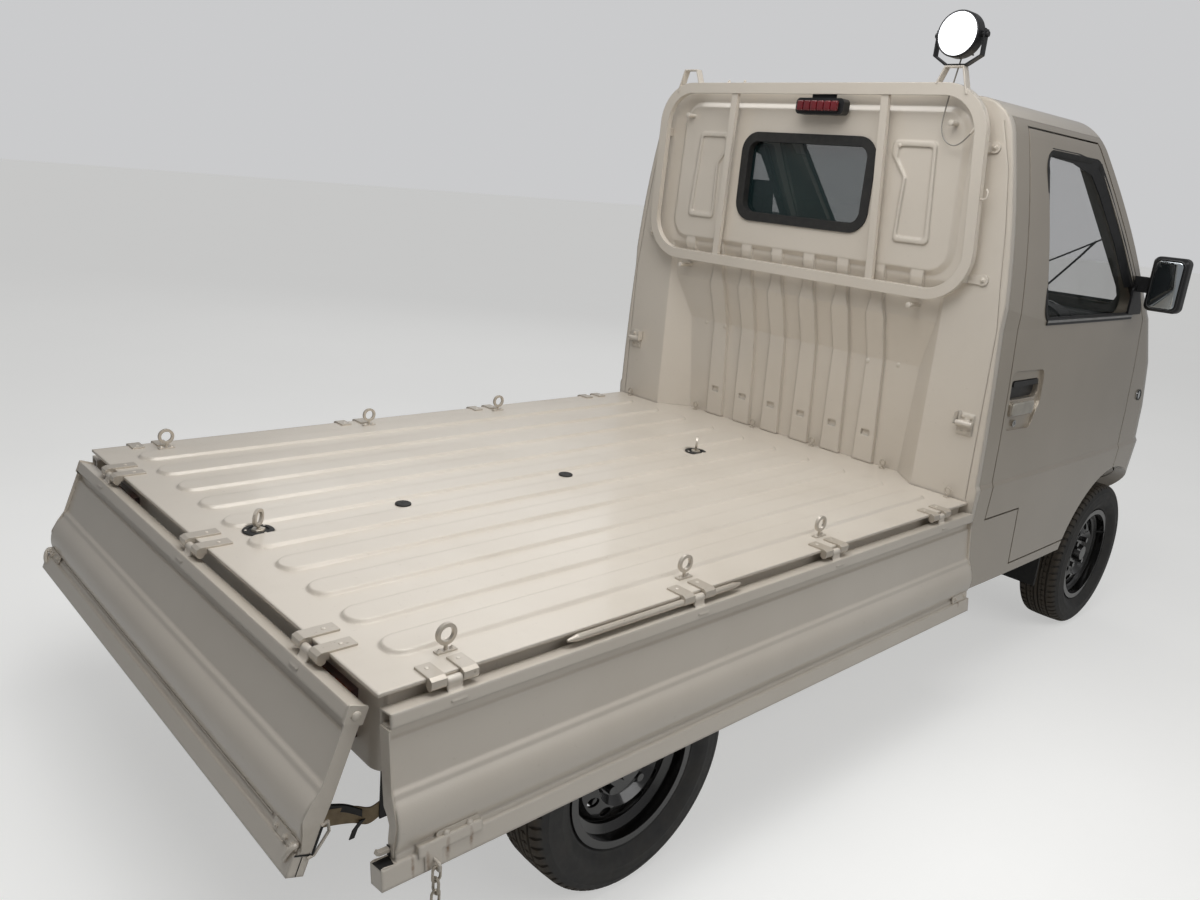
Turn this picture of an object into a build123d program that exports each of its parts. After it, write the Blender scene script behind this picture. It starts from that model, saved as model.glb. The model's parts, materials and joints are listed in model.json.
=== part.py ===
from build123d import *
import math
import os

# Semi-cab kei truck with a drop-side bed, all three gates hanging open.
# While modelling, x runs forward from the rear edge of the bed floor, y to the left and z up from the road.
# The finished pieces are then moved so that x = 0 is half-way along the truck.

# Wheels and stance
WHEELBASE = 2350.0
REAR_AXLE_X = 615.0
FRONT_AXLE_X = REAR_AXLE_X + WHEELBASE
TYRE_R = 268.0
TYRE_WIDTH = 145.0
TRACK_HALF = 652.0
RIM_R = 160.0
RIM_WIDTH = 112.0
RIM_WALL = 5.0
HUB_FACE_R = 70.0
HUB_BORE_R = 30.0
LUG_CIRCLE_R = 57.15
LUG_COUNT = 4
VENT_COUNT = 12
VENT_CIRCLE_R = 103.0
VENT_R = 13.0
DISC_OFFSET = 22.0
WHEEL_GAP = 0.4

# Bed
BED_LENGTH = 1885.0
BED_HALF = 714.0
BED_Z = 651.0
BED_SHEET = 6.0
RIB_COUNT = 10
RIB_PITCH = 132.0
RIB_WIDTH = 74.0
RIB_HEIGHT = 7.0
RIB_START_X = 75.0
RIB_END_GAP = 70.0
RIB_TAPER = 40.0
SIDE_RAIL_Y = 676.0
SIDE_RAIL_WIDTH = 16.0
SIDE_RAIL_DROP = 92.0
SILL_HALF = SIDE_RAIL_Y + SIDE_RAIL_WIDTH
REAR_SILL_Z = 486.0
REAR_SILL_WALL = 18.0
REAR_SILL_INSET = 20.0
CORNER_R = 35.0
BEAM_X = (110.0, 610.0, 1130.0, 1640.0)
BEAM_WIDTH = 70.0
BEAM_DEPTH = 50.0

# Gates: a is the distance from the hinge pin, b stands out of the visible face
GATE_PIN_Y = 721.0
GATE_PIN_Z = 640.0
GATE_START = 16.0
GATE_HEIGHT = 300.0
GATE_HALF_THICK = 17.0
GATE_RAIL = 28.0
GATE_BOX = 37.0
RAIL_BORE = (19.0, 39.0, 12.0)
RAIL_BORE_DEPTH = 55.0
BOX_REACH = 30.0
GATE_PANEL_FACE = 7.0
GATE_PANEL_THICK = 15.0
GATE_BULGE_FACE = 26.0
GATE_REAR_X = 8.0
GATE_FRONT_X = 1876.0
GATE_LEAN = 8.0
TAIL_PIN_X = -14.0
TAIL_HALF = 688.0
TAIL_LEAN = 20.0
PIN_R = 4.0
PIN_PLAY = 0.2
KNUCKLE_R = 8.0
KNUCKLE_LENGTH = 30.0
KNUCKLE_GAP = 1.0
HINGE_STRAP = 4.0
SIDE_HINGE_X = (133.0, 727.0, 1214.0, 1716.0)
TAIL_HINGE_Y = (-513.0, 0.0, 513.0)

# Eye hooks and floor fittings
EYE_BORE_R = 13.0
EYE_WIRE = 7.0
EYE_X = (163.0, 757.0, 1244.0)
EYE_Y = 668.0
EYE_STEM = 14.0
FLOOR_EYE_X = (125.0, 1520.0)
FLOOR_PLUG_X = (479.0, 988.0)
FLOOR_PLUG_R = 17.0
FLOOR_EYE_ROOM_R = 34.0
CAB_EYES = ((1872.0, 655.0), (1953.0, 393.0), (1953.0, 125.0))
CAB_EYE_BORE_R = 7.0
CAB_EYE_WIRE = 4.0
GAP_RODS = ((377.0, 681.0), (863.0, 773.0))
GAP_ROD_R = 7.0

# Chain hanging from the rear of the right gate
CHAIN_X = 72.0
LINK_COUNT = 9
# plates of the chain's staple: a and b from, to, then along x from the chain
CHAIN_PLATES = ((269.0, 297.0, 17.0, 23.0, -17.0, 17.0), (251.0, 271.0, 10.0, 23.0, -28.0, 96.0))
LINK_WIRE = 5.0
LINK_LENGTH = 34.0
LINK_WIDTH = 20.0
LINK_PLAY = 0.4

# Cab shell
CAB_REAR_X = 1890.0
CAB_LEAN = 0.9
CAB_WALL = 40.0
BACK_WALL = 22.0
BELT_Z = 1140.0
ROOF_Z = 1765.0
ROOF_EDGE_Z = 1731.0
ROOF_EDGE_Y = 612.0
ROOF_EDGE_R = 115.0
ROOF_SPLIT_Z = 1694.0
SIDE_TAPER = 6.0
NOSE_CORNER_R = 190.0
NOSE_TURN = 75.0
SCREEN_RUN = 670.0
SCREEN_RISE = 560.0
# height, half width, front on the centre line
BODY_STATIONS = (
    (360.0, 724.0, 3338.0),
    (688.0, 737.0, 3370.0),
    (700.0, 731.0, 3368.0),
    (820.0, 728.0, 3364.0),
    (980.0, 721.0, 3332.0),
    (1140.0, 711.0, 3250.0),
)
UPPER_SIDE_MID = (690.0, 1352.0)
ARCH_R = 345.0
FRONT_ARCH_Z = TYRE_R + ARCH_R
BUMPER_TOP_Z = 688.0

# Doors
DOOR_GAP = 5.0
DOOR_REAR_X = 1990.0
DOOR_TOP_REAR_X = 1978.0
DOOR_TOP_Z = 1672.0
DOOR_STEP_Z = 588.0
DOOR_STEP_X = 2205.0
DOOR_BOTTOM_X = 2240.0
DOOR_BOTTOM_Z = 396.0
DOOR_FRONT_X = 2950.0
DOOR_BELT_FRONT_X = 2960.0
DOOR_TOP_FRONT_X = 2455.0
# pivot of a door, which the record's joints use
DOOR_HINGE_X = 2945.0
DOOR_HINGE_Y = 738.0
WINDOW_SILL_Z = 1160.0
WINDOW_TOP_Z = 1622.0
WINDOW_REAR_X = 2150.0
WINDOW_TOP_REAR_X = 2088.0
WINDOW_FRONT_X = 2905.0
WINDOW_TOP_FRONT_X = 2462.0
WINDOW_CORNER_R = 42.0
GLASS_INSET = 14.0
GLASS_THICK = 5.0
SEAT_PLAY = 0.3
LAMP_PLAY = 0.5

# Windscreen and rear window
SCREEN_SILL_Z = 1170.0
SCREEN_TOP_Z = 1666.0
SCREEN_SILL_HALF = 590.0
SCREEN_TOP_HALF = 535.0
SCREEN_CORNER_R = 60.0
REAR_WINDOW_HALF = 250.0
REAR_WINDOW_LOW_Z = 1348.0
REAR_WINDOW_TOP_Z = 1625.0
REAR_WINDOW_R = 62.0
REAR_RUBBER = 18.0
REAR_RUBBER_PROUD = 5.0
REAR_BITE = 5.0

# Back wall pressing; depths are measured forward from the wall's rear face
PANEL_PROUD = 12.0
PANEL_SLOPE = 52.0
PANEL_LOW_Z = 1258.0
PANEL_TOP_Z = 1712.0
PANEL_HALF = 538.0
PANEL_TOP_HALF = 520.0
PANEL_R = 72.0
PAN_HALF = 528.0
PAN_SIDE_SLOPE = 1.1
PAN_WALL = 14.0
PAN_BACK = 30.0
PAN_LOW_PLAY = 1.8
# height and depth of the pan's ground
PAN_STEPS = ((1250.0, 0.0), (1200.0, 14.0), (1130.0, 18.0), (985.0, 64.0), (BED_Z, 84.0))
BACK_RIB_PROUD = 13.0
BACK_RIB_PITCH = 125.0
BACK_RIB_PLACES = (-2.5, -1.5, -0.5, 0.5, 1.5, 2.5)
BACK_TAB_PLACES = (-3.5, 3.5)
BACK_RIB_TOP_Z = 1275.0
# height and half width of a rib
BACK_RIB_HALVES = ((BED_Z + 0.5, 36.0), (880.0, 32.0), (985.0, 29.0), (1118.0, 32.0), (1165.0, 21.0))
FOOT_DENT_Z = 746.0
FOOT_DENT = (14.0, 9.0, 7.0)
LOOP_POINTS = ((344.0, 1342.0), (458.0, 1342.0), (434.0, 1618.0), (300.0, 1618.0), (300.0, 1580.0), (346.0, 1520.0))
LOOP_MIDDLE = (390.0, 1480.0)
LOOP_SHRINK = 0.78
LOOP_PROUD = 5.0
SEAM_POINTS = ((704.0, 655.0), (698.0, 1140.0), (684.0, 1250.0), (668.0, 1400.0), (643.0, 1560.0), (606.0, 1680.0))
SEAM_WIDTH = 2.5
WALL_STUDS = ((447.0, 1172.0), (479.0, 1667.0))
STUD_R = 6.5
STUD_REACH = 42.0
CATCH_Z = 872.0

# Guard in front of the back window
GUARD_TUBE_HALF = 16.0
GUARD_DEPTH_HALF = 10.0
GUARD_LOW_Z = 1210.0
GUARD_TOP_Z = 1751.0
GUARD_LOW_X = 1852.0
GUARD_TOP_X = 1822.0
GUARD_LOW_HALF = 603.0
GUARD_TOP_HALF = 566.0
GUARD_CORNER_R = 120.0
GUARD_BAR_HALF = 12.0
GUARD_BAR_DEPTH_HALF = 7.0
GUARD_BAR_LOW_Y = 300.0
GUARD_BAR_TOP_Y = 272.0
HORN_Y = 470.0
HORN_HALF = 46.0
HORN_TOP_HALF = 27.0
HORN_TOP_Z = 1808.0
HORN_STRIP = 4.0
HORN_WIDTH_HALF = 12.0
# height of a bracket, of its web and of its foot on the wall
GUARD_BRACKETS = ((1267.0, 590.0, 632.0), (1611.0, 586.0, 596.0))
STOP_LAMP_Y = (-143.0, 26.0)
STOP_LAMP_Z = (1678.0, 1724.0)
WORK_LAMP_Z = 1884.0
WORK_LAMP_R = 58.0
CABLE_R = 2.0
CABLE_POINTS = (
    (1841.0, -470.0, 1832.0), (1843.0, -462.0, 1788.0), (1843.0, -454.0, 1740.0), (1843.0, -448.0, 1692.0),
    (1841.0, -447.0, 1648.0), (1840.0, -471.0, 1612.0), (1837.0, -512.0, 1607.0), (1834.0, -539.0, 1641.0))
CABLE_GLAND_R = 5.0
CABLE_GLAND_LENGTH = 16.0
CABLE_CLIP_R = 4.0
CABLE_CLIP_LENGTH = 22.0

# Front lamps, grille and door handles
HEAD_LAMP = ((335.0, 742.0), (640.0, 760.0), (625.0, 900.0), (335.0, 885.0))
TURN_LAMP = ((470.0, 596.0), (630.0, 596.0), (630.0, 652.0), (470.0, 652.0))
GRILLE = ((-300.0, 752.0), (300.0, 752.0), (300.0, 868.0), (-300.0, 868.0))
GRILLE_SLOTS = (778.0, 810.0, 842.0)
INTAKE = ((-400.0, 440.0), (400.0, 440.0), (400.0, 520.0), (-400.0, 520.0))
MARKER_X = 3061.0
MARKER_Z = 870.0
MARKER_R = 16.0
HANDLE_DISH = ((2003.0, 850.0), (2160.0, 846.0), (2206.0, 925.0), (2206.0, 1018.0), (2003.0, 1022.0))
HANDLE_CUP = ((2016.0, 936.0), (2196.0, 936.0), (2196.0, 992.0), (2016.0, 992.0))
HANDLE_GRIP = ((2022.0, 888.0), (2170.0, 888.0), (2170.0, 932.0), (2022.0, 932.0))
HANDLE_DEPTH = 9.0
HANDLE_CUP_DEPTH = 24.0
LOCK_PLACE = (2065.0, 867.0)
LOCK_R = 9.0

# Running gear
FRAME_RAIL_Y = 330.0
FRAME_RAIL_WIDTH = 50.0
FRAME_RAIL_DEPTH = 85.0
AXLE_TUBE_R = 30.0
BRAKE_DRUM_R = 108.0
BRAKE_DISC_R = 92.0
BRAKE_DRUM_WIDTH = 42.0
SPRING_Y = 452.0
SPRING_HALF = 430.0
SPRING_WIDTH = 50.0
SPRING_LEAF = 8.0
KINGPIN_LOW_Y = 596.0
KINGPIN_LOW_Z = 170.0
KINGPIN_TOP_Y = 480.0
KINGPIN_TOP_Z = 740.0
STRUT_R = 20.0

# Steering wheel and seats, right-hand drive
DRIVER_Y = -325.0
STEER_X = 2765.0
STEER_Z = 1005.0
STEER_TILT = 32.0
STEER_R = 180.0
STEER_RIM_R = 13.0

SIDES = (("left", 1), ("right", -1))


def face_of(route, place):
    """Flat face: an entry (a, b) is a straight run, (am, bm, a, b) an arc through (am, bm)."""
    here = route[0]
    edges = []
    for step in route[1:] + [route[0]]:
        end = step[-2:]
        if len(step) == 4:
            edges.append(Edge.make_three_point_arc(place(*here), place(*step[:2]), place(*end)))
        elif end != here:
            edges.append(Edge.make_line(place(*here), place(*end)))
        here = end
    return Face(Wire(edges))


def prism_x(route, x0, x1):
    """Route of (y, z) points drawn along x."""
    return Solid.extrude(face_of(route, lambda y, z: (x0, y, z)), Vector(x1 - x0, 0, 0))


def prism_y(route, y0, y1):
    """Route of (x, z) points drawn along y."""
    return Solid.extrude(face_of(route, lambda x, z: (x, y0, z)), Vector(0, y1 - y0, 0))


def prism_z(route, z0, z1):
    """Route of (x, y) points drawn along z."""
    return Solid.extrude(face_of(route, lambda x, y: (x, y, z0)), Vector(0, 0, z1 - z0))


def block(x0, x1, y0, y1, z0, z1):
    low = Plane((min(x0, x1), min(y0, y1), min(z0, z1)))
    return Solid.make_box(abs(x1 - x0), abs(y1 - y0), abs(z1 - z0), low)


def rod(start, end, radius):
    way = Vector(*end) - Vector(*start)
    return Solid.make_cylinder(radius, way.length, Plane(origin=start, z_dir=way))


def pipe(start, end, outer, inner):
    return rod(start, end, outer) - rod(start, end, inner)


def bent_rod(points, bends, radius, closed=False):
    path = FilletPolyline(*points, radius=bends, close=closed)
    section = Plane(origin=path @ 0, z_dir=path % 0) * Circle(radius)
    return sweep(section, path=path)


def other_side(shape):
    return shape.mirror(Plane.XZ)


def joined(*shapes):
    whole = shapes[0]
    for shape in shapes[1:]:
        whole = whole + shape
    return whole


def group(*shapes):
    """Solids that share a node without touching."""
    solids = []
    for shape in shapes:
        solids.extend(shape.solids())
    return Compound(children=solids)


def rounded(points, radius):
    """Route round a polygon whose corners all have the same radius."""
    route = []
    count = len(points)
    for place in range(count):
        corner = Vector(*points[place])
        before = (Vector(*points[place - 1]) - corner).normalized()
        after = (Vector(*points[(place + 1) % count]) - corner).normalized()
        half = before.get_angle(after) / 2
        reach = radius / math.tan(math.radians(half))
        middle = (before + after).normalized()
        centre = corner + middle * (radius / math.sin(math.radians(half)))
        start = corner + before * reach
        crown = centre - middle * radius
        end = corner + after * reach
        route.append((start.X, start.Y))
        route.append((crown.X, crown.Y, end.X, end.Y))
    return route


def cornered(points, size, cuts=3):
    """Route round a polygon whose corners are broken into a few short straight runs."""
    smooth = rounded(points, size)
    route = []
    for place in range(0, len(smooth), 2):
        start = Vector(*smooth[place])
        end = Vector(*smooth[place + 1][-2:])
        crown = Vector(*smooth[place + 1][:2])
        arc = Edge.make_three_point_arc(start, crown, end)
        for step in range(cuts + 1):
            spot = arc.position_at(step / cuts)
            route.append((spot.X, spot.Y))
    return route


def turned_about(shape, point, axis, angle):
    return shape.rotate(Axis(point, axis), angle)


# Cab volume, from which the panels are cut

def plan_route(half, front, inset, back):
    """Outline of the cab seen from above, drawn in by inset."""
    wide = half - inset
    nose = front - inset
    edge = wide - SIDE_TAPER
    turn = math.radians(NOSE_TURN)
    radius = NOSE_CORNER_R - inset
    corner_y = edge - radius * (1 - math.cos(turn))
    corner_x = nose - corner_y * math.tan((math.pi / 2 - turn) / 2)
    fender = corner_x - radius * math.sin(turn)
    turn_x = fender + radius * math.sin(turn / 2)
    turn_y = edge - radius * (1 - math.cos(turn / 2))
    middle = (CAB_REAR_X + fender) / 2
    return [
        (back, -edge),
        (CAB_REAR_X + 1, -edge),
        (middle, -wide, fender, -edge),
        (turn_x, -turn_y, corner_x, -corner_y),
        (nose, 0, corner_x, corner_y),
        (turn_x, turn_y, fender, edge),
        (middle, wide, CAB_REAR_X + 1, edge),
        (back, edge),
    ]


def lower_body(inset=0.0, drop=0.0):
    """Body below the belt line; drop carries the bottom further down."""
    stations = list(BODY_STATIONS)
    if drop > 0:
        height, half, front = BODY_STATIONS[0]
        stations.insert(0, (height - drop, half, front))
    wires = []
    for height, half, front in stations:
        route = plan_route(half, front, inset, CAB_REAR_X - 40)
        wires.append(face_of(route, lambda x, y, z=height: (x, y, z)).outer_wire())
    return Solid.make_loft(wires, True)


def upper_route(inset):
    """Cab seen from behind, above the belt line."""
    belt_half = BODY_STATIONS[-1][1]
    crown = ROOF_Z - inset
    edge_z = ROOF_EDGE_Z - inset
    side = ThreePointArc(
        (belt_half - inset, BELT_Z), (UPPER_SIDE_MID[0] - inset, UPPER_SIDE_MID[1]), (ROOF_EDGE_Y - inset, edge_z))
    roof = ThreePointArc((ROOF_EDGE_Y - inset, edge_z), (0, crown), (inset - ROOF_EDGE_Y, edge_z))
    away = ThreePointArc(
        (inset - ROOF_EDGE_Y, edge_z), (inset - UPPER_SIDE_MID[0], UPPER_SIDE_MID[1]), (inset - belt_half, BELT_Z))
    base = Line((inset - belt_half, BELT_Z), (belt_half - inset, BELT_Z))
    sketch = make_face(side + roof + away + base)
    tops = sketch.vertices().filter_by_position(Axis.Y, edge_z - 1, edge_z + 1)
    return fillet(tops, ROOF_EDGE_R - inset)


def upper_body(inset=0.0):
    section = Plane.YZ * upper_route(inset)
    along = extrude(section, amount=4000.0)
    height, half, front = BODY_STATIONS[-1]
    route = plan_route(half, front, inset * 1.3, CAB_REAR_X - 1800)
    foot = face_of(route, lambda x, y: (x, y, height))
    leaning = Solid.extrude(foot, Vector(-SCREEN_RUN, 0, SCREEN_RISE) * 1.3)
    return along & leaning


def back_plane_cut(shift):
    """Everything behind the leaning back wall's face, moved forward by shift."""
    away = block(CAB_REAR_X - 3000, CAB_REAR_X + shift, -1200, 1200, -500, 3000)
    return turned_about(away, (CAB_REAR_X, 0, BED_Z), (0, 1, 0), -CAB_LEAN)


def cab_shell():
    outer = lower_body() + upper_body()
    inner = lower_body(CAB_WALL, 20.0) + upper_body(CAB_WALL)
    return outer - inner - back_plane_cut(BACK_WALL)


def door_route(gap=0.0):
    """Door seen from the side; gap makes it larger all round for the opening."""
    return [
        (DOOR_REAR_X - gap, DOOR_STEP_Z - gap),
        (DOOR_REAR_X - gap, BELT_Z),
        (DOOR_TOP_REAR_X - gap, DOOR_TOP_Z + gap),
        (DOOR_TOP_FRONT_X + gap, DOOR_TOP_Z + gap),
        (DOOR_BELT_FRONT_X + gap, BELT_Z),
        (DOOR_FRONT_X + gap, FRONT_ARCH_Z - 95),
        (FRONT_AXLE_X - ARCH_R * 0.6, FRONT_ARCH_Z - 95),
        (FRONT_AXLE_X - ARCH_R * 0.6, DOOR_BOTTOM_Z - gap),
        (DOOR_BOTTOM_X - gap, DOOR_BOTTOM_Z - gap),
        (DOOR_STEP_X - gap, DOOR_STEP_Z - gap),
    ]


def arch_cut(radius):
    return rod((FRONT_AXLE_X, -1000, TYRE_R), (FRONT_AXLE_X, 1000, TYRE_R), radius)


def window_route(play=0.0):
    points = [
        (WINDOW_REAR_X + play, WINDOW_SILL_Z + play),
        (WINDOW_FRONT_X - play, WINDOW_SILL_Z + play),
        (WINDOW_TOP_FRONT_X - play, WINDOW_TOP_Z - play),
        (WINDOW_TOP_REAR_X + play, WINDOW_TOP_Z - play),
    ]
    return rounded(points, WINDOW_CORNER_R)


def screen_route(play=0.0):
    points = [
        (-SCREEN_SILL_HALF + play, SCREEN_SILL_Z + play),
        (SCREEN_SILL_HALF - play, SCREEN_SILL_Z + play),
        (SCREEN_TOP_HALF - play, SCREEN_TOP_Z - play),
        (-SCREEN_TOP_HALF + play, SCREEN_TOP_Z - play),
    ]
    return cornered(points, SCREEN_CORNER_R)


def rear_window_route(play=0.0):
    half = REAR_WINDOW_HALF - play
    points = [
        (-half, REAR_WINDOW_LOW_Z + play),
        (half, REAR_WINDOW_LOW_Z + play),
        (half, REAR_WINDOW_TOP_Z - play),
        (-half, REAR_WINDOW_TOP_Z - play),
    ]
    return rounded(points, REAR_WINDOW_R - play)


def cab_panels():
    """Roof, front and sides cut from one shell, and the two doors."""
    shell = cab_shell()
    half_space = {1: block(1800, 3600, 0, 900, 300, 1800), -1: block(1800, 3600, -900, 0, 300, 1800)}
    arch = arch_cut(ARCH_R)
    door_cut = {side: prism_y(door_route(DOOR_GAP), 0, side * 1000) for _, side in SIDES}
    screen = prism_x(screen_route(), 2300, 3500)
    body = shell - arch - door_cut[1] - door_cut[-1] - screen
    header = block(2300, 3600, -560, 560, 1600, 1800)
    top = block(1800, 3600, -900, 900, ROOF_SPLIT_Z, 1900) + header
    split_x = DOOR_FRONT_X + DOOR_GAP
    nose = block(split_x, 3600, -900, 900, 300, BELT_Z) + block(split_x, 3600, -600, 600, 300, SCREEN_SILL_Z + 40)
    bumper_room = block(FRONT_AXLE_X + 150, 3600, -900, 900, 300, BUMPER_TOP_Z)
    panels = {
        "cab_roof": body & top,
        "cab_front": (body - top) & (nose - bumper_room),
    }
    rest = body - top - nose
    for name, side in SIDES:
        panels[f"cab_side_{name}"] = rest & half_space[side]
    window = prism_y(window_route(), -1000, 1000)
    bar = shell - arch
    for name, side in SIDES:
        slab = prism_y(door_route(), 0, side * 1000)
        panels[f"door_{name}"] = (bar & slab) - window - handle_cut(side)
    bumper = (lower_body() - lower_body(CAB_WALL, 20.0) - arch) & bumper_room
    panels["cab_front"] = panels["cab_front"] - lamp_rooms(HEAD_LAMP, 26, LAMP_PLAY) - marker_rooms(12, LAMP_PLAY)
    panels["cab_front"] = panels["cab_front"] - front_slab(GRILLE, 0, 16, 24)
    bumper = bumper - lamp_rooms(TURN_LAMP, 26, LAMP_PLAY) - front_slab(INTAKE, 0, 14, 24)
    panels["front_bumper"] = bumper
    return panels


def skin(outer, inner):
    """Layer of the lower body between two insets."""
    return lower_body(outer) - lower_body(inner)


def front_slab(points, outer, inner, radius, play=0.0):
    """Piece of the nose between two insets, with a rounded outline seen from in front."""
    middle_y = sum(y for y, _ in points) / len(points)
    middle_z = sum(z for _, z in points) / len(points)
    grown = []
    for y, z in points:
        grown.append((y + play * math.copysign(1, y - middle_y), z + play * math.copysign(1, z - middle_z)))
    return prism_x(rounded(grown, radius), FRONT_AXLE_X + 100, 3500) & skin(outer, inner)


def lamp_rooms(points, depth, play=0.0):
    lamp = front_slab(points, 0, depth, 22, play)
    return lamp + other_side(lamp)


def marker_rooms(depth, play=0.0):
    radius = MARKER_R + play
    lamp = rod((MARKER_X, -800, MARKER_Z), (MARKER_X, 800, MARKER_Z), radius) & skin(-3 if play == 0 else 0, depth)
    return lamp


def front_lamps():
    """Head lamps, turn lamps and side markers, let into the panels."""
    return group(lamp_rooms(HEAD_LAMP, 25), lamp_rooms(TURN_LAMP, 25), marker_rooms(11))


def handle_cut(side):
    """Dish in the door with a deeper cup; the grip and the lock stay standing in it."""
    reach = (side * 500, side * 900)
    dish = prism_y(rounded(HANDLE_DISH, 24), *reach) & skin(-2, HANDLE_DEPTH)
    cup = prism_y(rounded(HANDLE_CUP, 20), *reach) & skin(0, HANDLE_CUP_DEPTH)
    grip = prism_y(rounded(HANDLE_GRIP, 14), *reach) & skin(1, HANDLE_DEPTH)
    x, z = LOCK_PLACE
    lock = rod((x, side * 500, z), (x, side * 900, z), LOCK_R) & skin(4, HANDLE_DEPTH)
    return dish + cup - grip - lock


def cab_glass():
    pane = (upper_body(GLASS_INSET) - upper_body(GLASS_INSET + GLASS_THICK)) & prism_x(
        screen_route(SEAT_PLAY), 2300, 3500)
    middle = CAB_REAR_X + BACK_WALL / 2
    rear = prism_x(rear_window_route(REAR_RUBBER + REAR_BITE), middle - GLASS_THICK / 2, middle + GLASS_THICK / 2)
    return group(pane, leaned(rear))


def leaned(shape):
    return turned_about(shape, (CAB_REAR_X, 0, BED_Z), (0, 1, 0), -CAB_LEAN)


def back_outline(inset=0.0):
    """Cab seen from behind, from bed level to the roof."""
    lower = lower_body(inset)
    upper = upper_body(inset)
    slab = block(CAB_REAR_X - 30, CAB_REAR_X + BACK_WALL + 40, -900, 900, BED_Z - 60, ROOF_Z + 10)
    return (lower + upper) & slab


def pan_volume(wall, low_z):
    """Room pressed forward into the back wall, grown by wall at its front and sides."""
    rear = CAB_REAR_X - PAN_BACK
    profile = [(rear, low_z), (CAB_REAR_X + PAN_STEPS[-1][1] + wall, low_z)]
    for z, depth in reversed(PAN_STEPS):
        profile.append((CAB_REAR_X + depth + wall, z))
    profile.append((rear, PAN_STEPS[0][0]))
    deepest = PAN_STEPS[-1][1] + wall
    wide = PAN_HALF + wall * 1.2 + PAN_SIDE_SLOPE * PAN_BACK
    narrow = PAN_HALF + wall * 1.2 - PAN_SIDE_SLOPE * deepest
    front = CAB_REAR_X + deepest
    plan = [(rear, -wide), (front, -narrow), (front, narrow), (rear, wide)]
    return prism_y(profile, -900, 900) & prism_z(plan, low_z, PAN_STEPS[0][0])


def back_rib(middle, low_z):
    """Rib that follows the pan's ground and stands out of it; it runs into the upper panel."""
    face = []
    root = []
    for z, depth in PAN_STEPS:
        face.append((CAB_REAR_X + depth - BACK_RIB_PROUD, z))
        root.append((CAB_REAR_X + depth + 4, z))
    face[0] = (CAB_REAR_X - PANEL_PROUD + 1, PAN_STEPS[0][0])
    slab = prism_y([(CAB_REAR_X - PANEL_PROUD + 1, BACK_RIB_TOP_Z)] + face + root[::-1] + [
        (CAB_REAR_X + 4, BACK_RIB_TOP_Z)], middle - 60, middle + 60)
    top_half = BACK_RIB_HALVES[-1][1]
    right = [(middle + half, z) for z, half in BACK_RIB_HALVES if z > low_z]
    left = [(middle - half, z) for z, half in BACK_RIB_HALVES if z > low_z]
    if low_z > BED_Z:
        right = [(middle + top_half, low_z)]
        left = [(middle - top_half, low_z)]
    right.append((middle + top_half, BACK_RIB_TOP_Z))
    left.append((middle - top_half, BACK_RIB_TOP_Z))
    return slab & prism_x(right + left[::-1], CAB_REAR_X - 40, CAB_REAR_X + 120)


def loop_ring(side):
    """Raised bead beside the rear window."""
    outer = [(side * y, z) for y, z in LOOP_POINTS]
    mid_y, mid_z = LOOP_MIDDLE
    inner = []
    for y, z in LOOP_POINTS:
        inner.append((side * (mid_y + (y - mid_y) * LOOP_SHRINK), mid_z + (z - mid_z) * 0.9))
    face = CAB_REAR_X - PANEL_PROUD
    ring = prism_x(rounded(outer, 14), face - LOOP_PROUD, face + 1)
    return ring - prism_x(rounded(inner, 10), face - LOOP_PROUD - 1, face + 2)


def gate_catch(side):
    """Bolt housing that holds a raised side gate."""
    plate = block(CAB_REAR_X - 4, CAB_REAR_X + 2, side * 640, side * 684, CATCH_Z - 34, CATCH_Z + 26)
    tube = rod((CAB_REAR_X - 15, side * 634, CATCH_Z), (CAB_REAR_X - 15, side * 687, CATCH_Z), 8)
    saddle = block(CAB_REAR_X - 15, CAB_REAR_X - 3, side * 646, side * 676, CATCH_Z - 8, CATCH_Z + 8)
    tab = block(CAB_REAR_X - 26, CAB_REAR_X - 3, side * 634, side * 637, CATCH_Z - 4, CATCH_Z + 30)
    return plate + tube + saddle + (tab + block(
        CAB_REAR_X - 7, CAB_REAR_X - 3, side * 634, side * 645, CATCH_Z - 4, CATCH_Z + 30))


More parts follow.
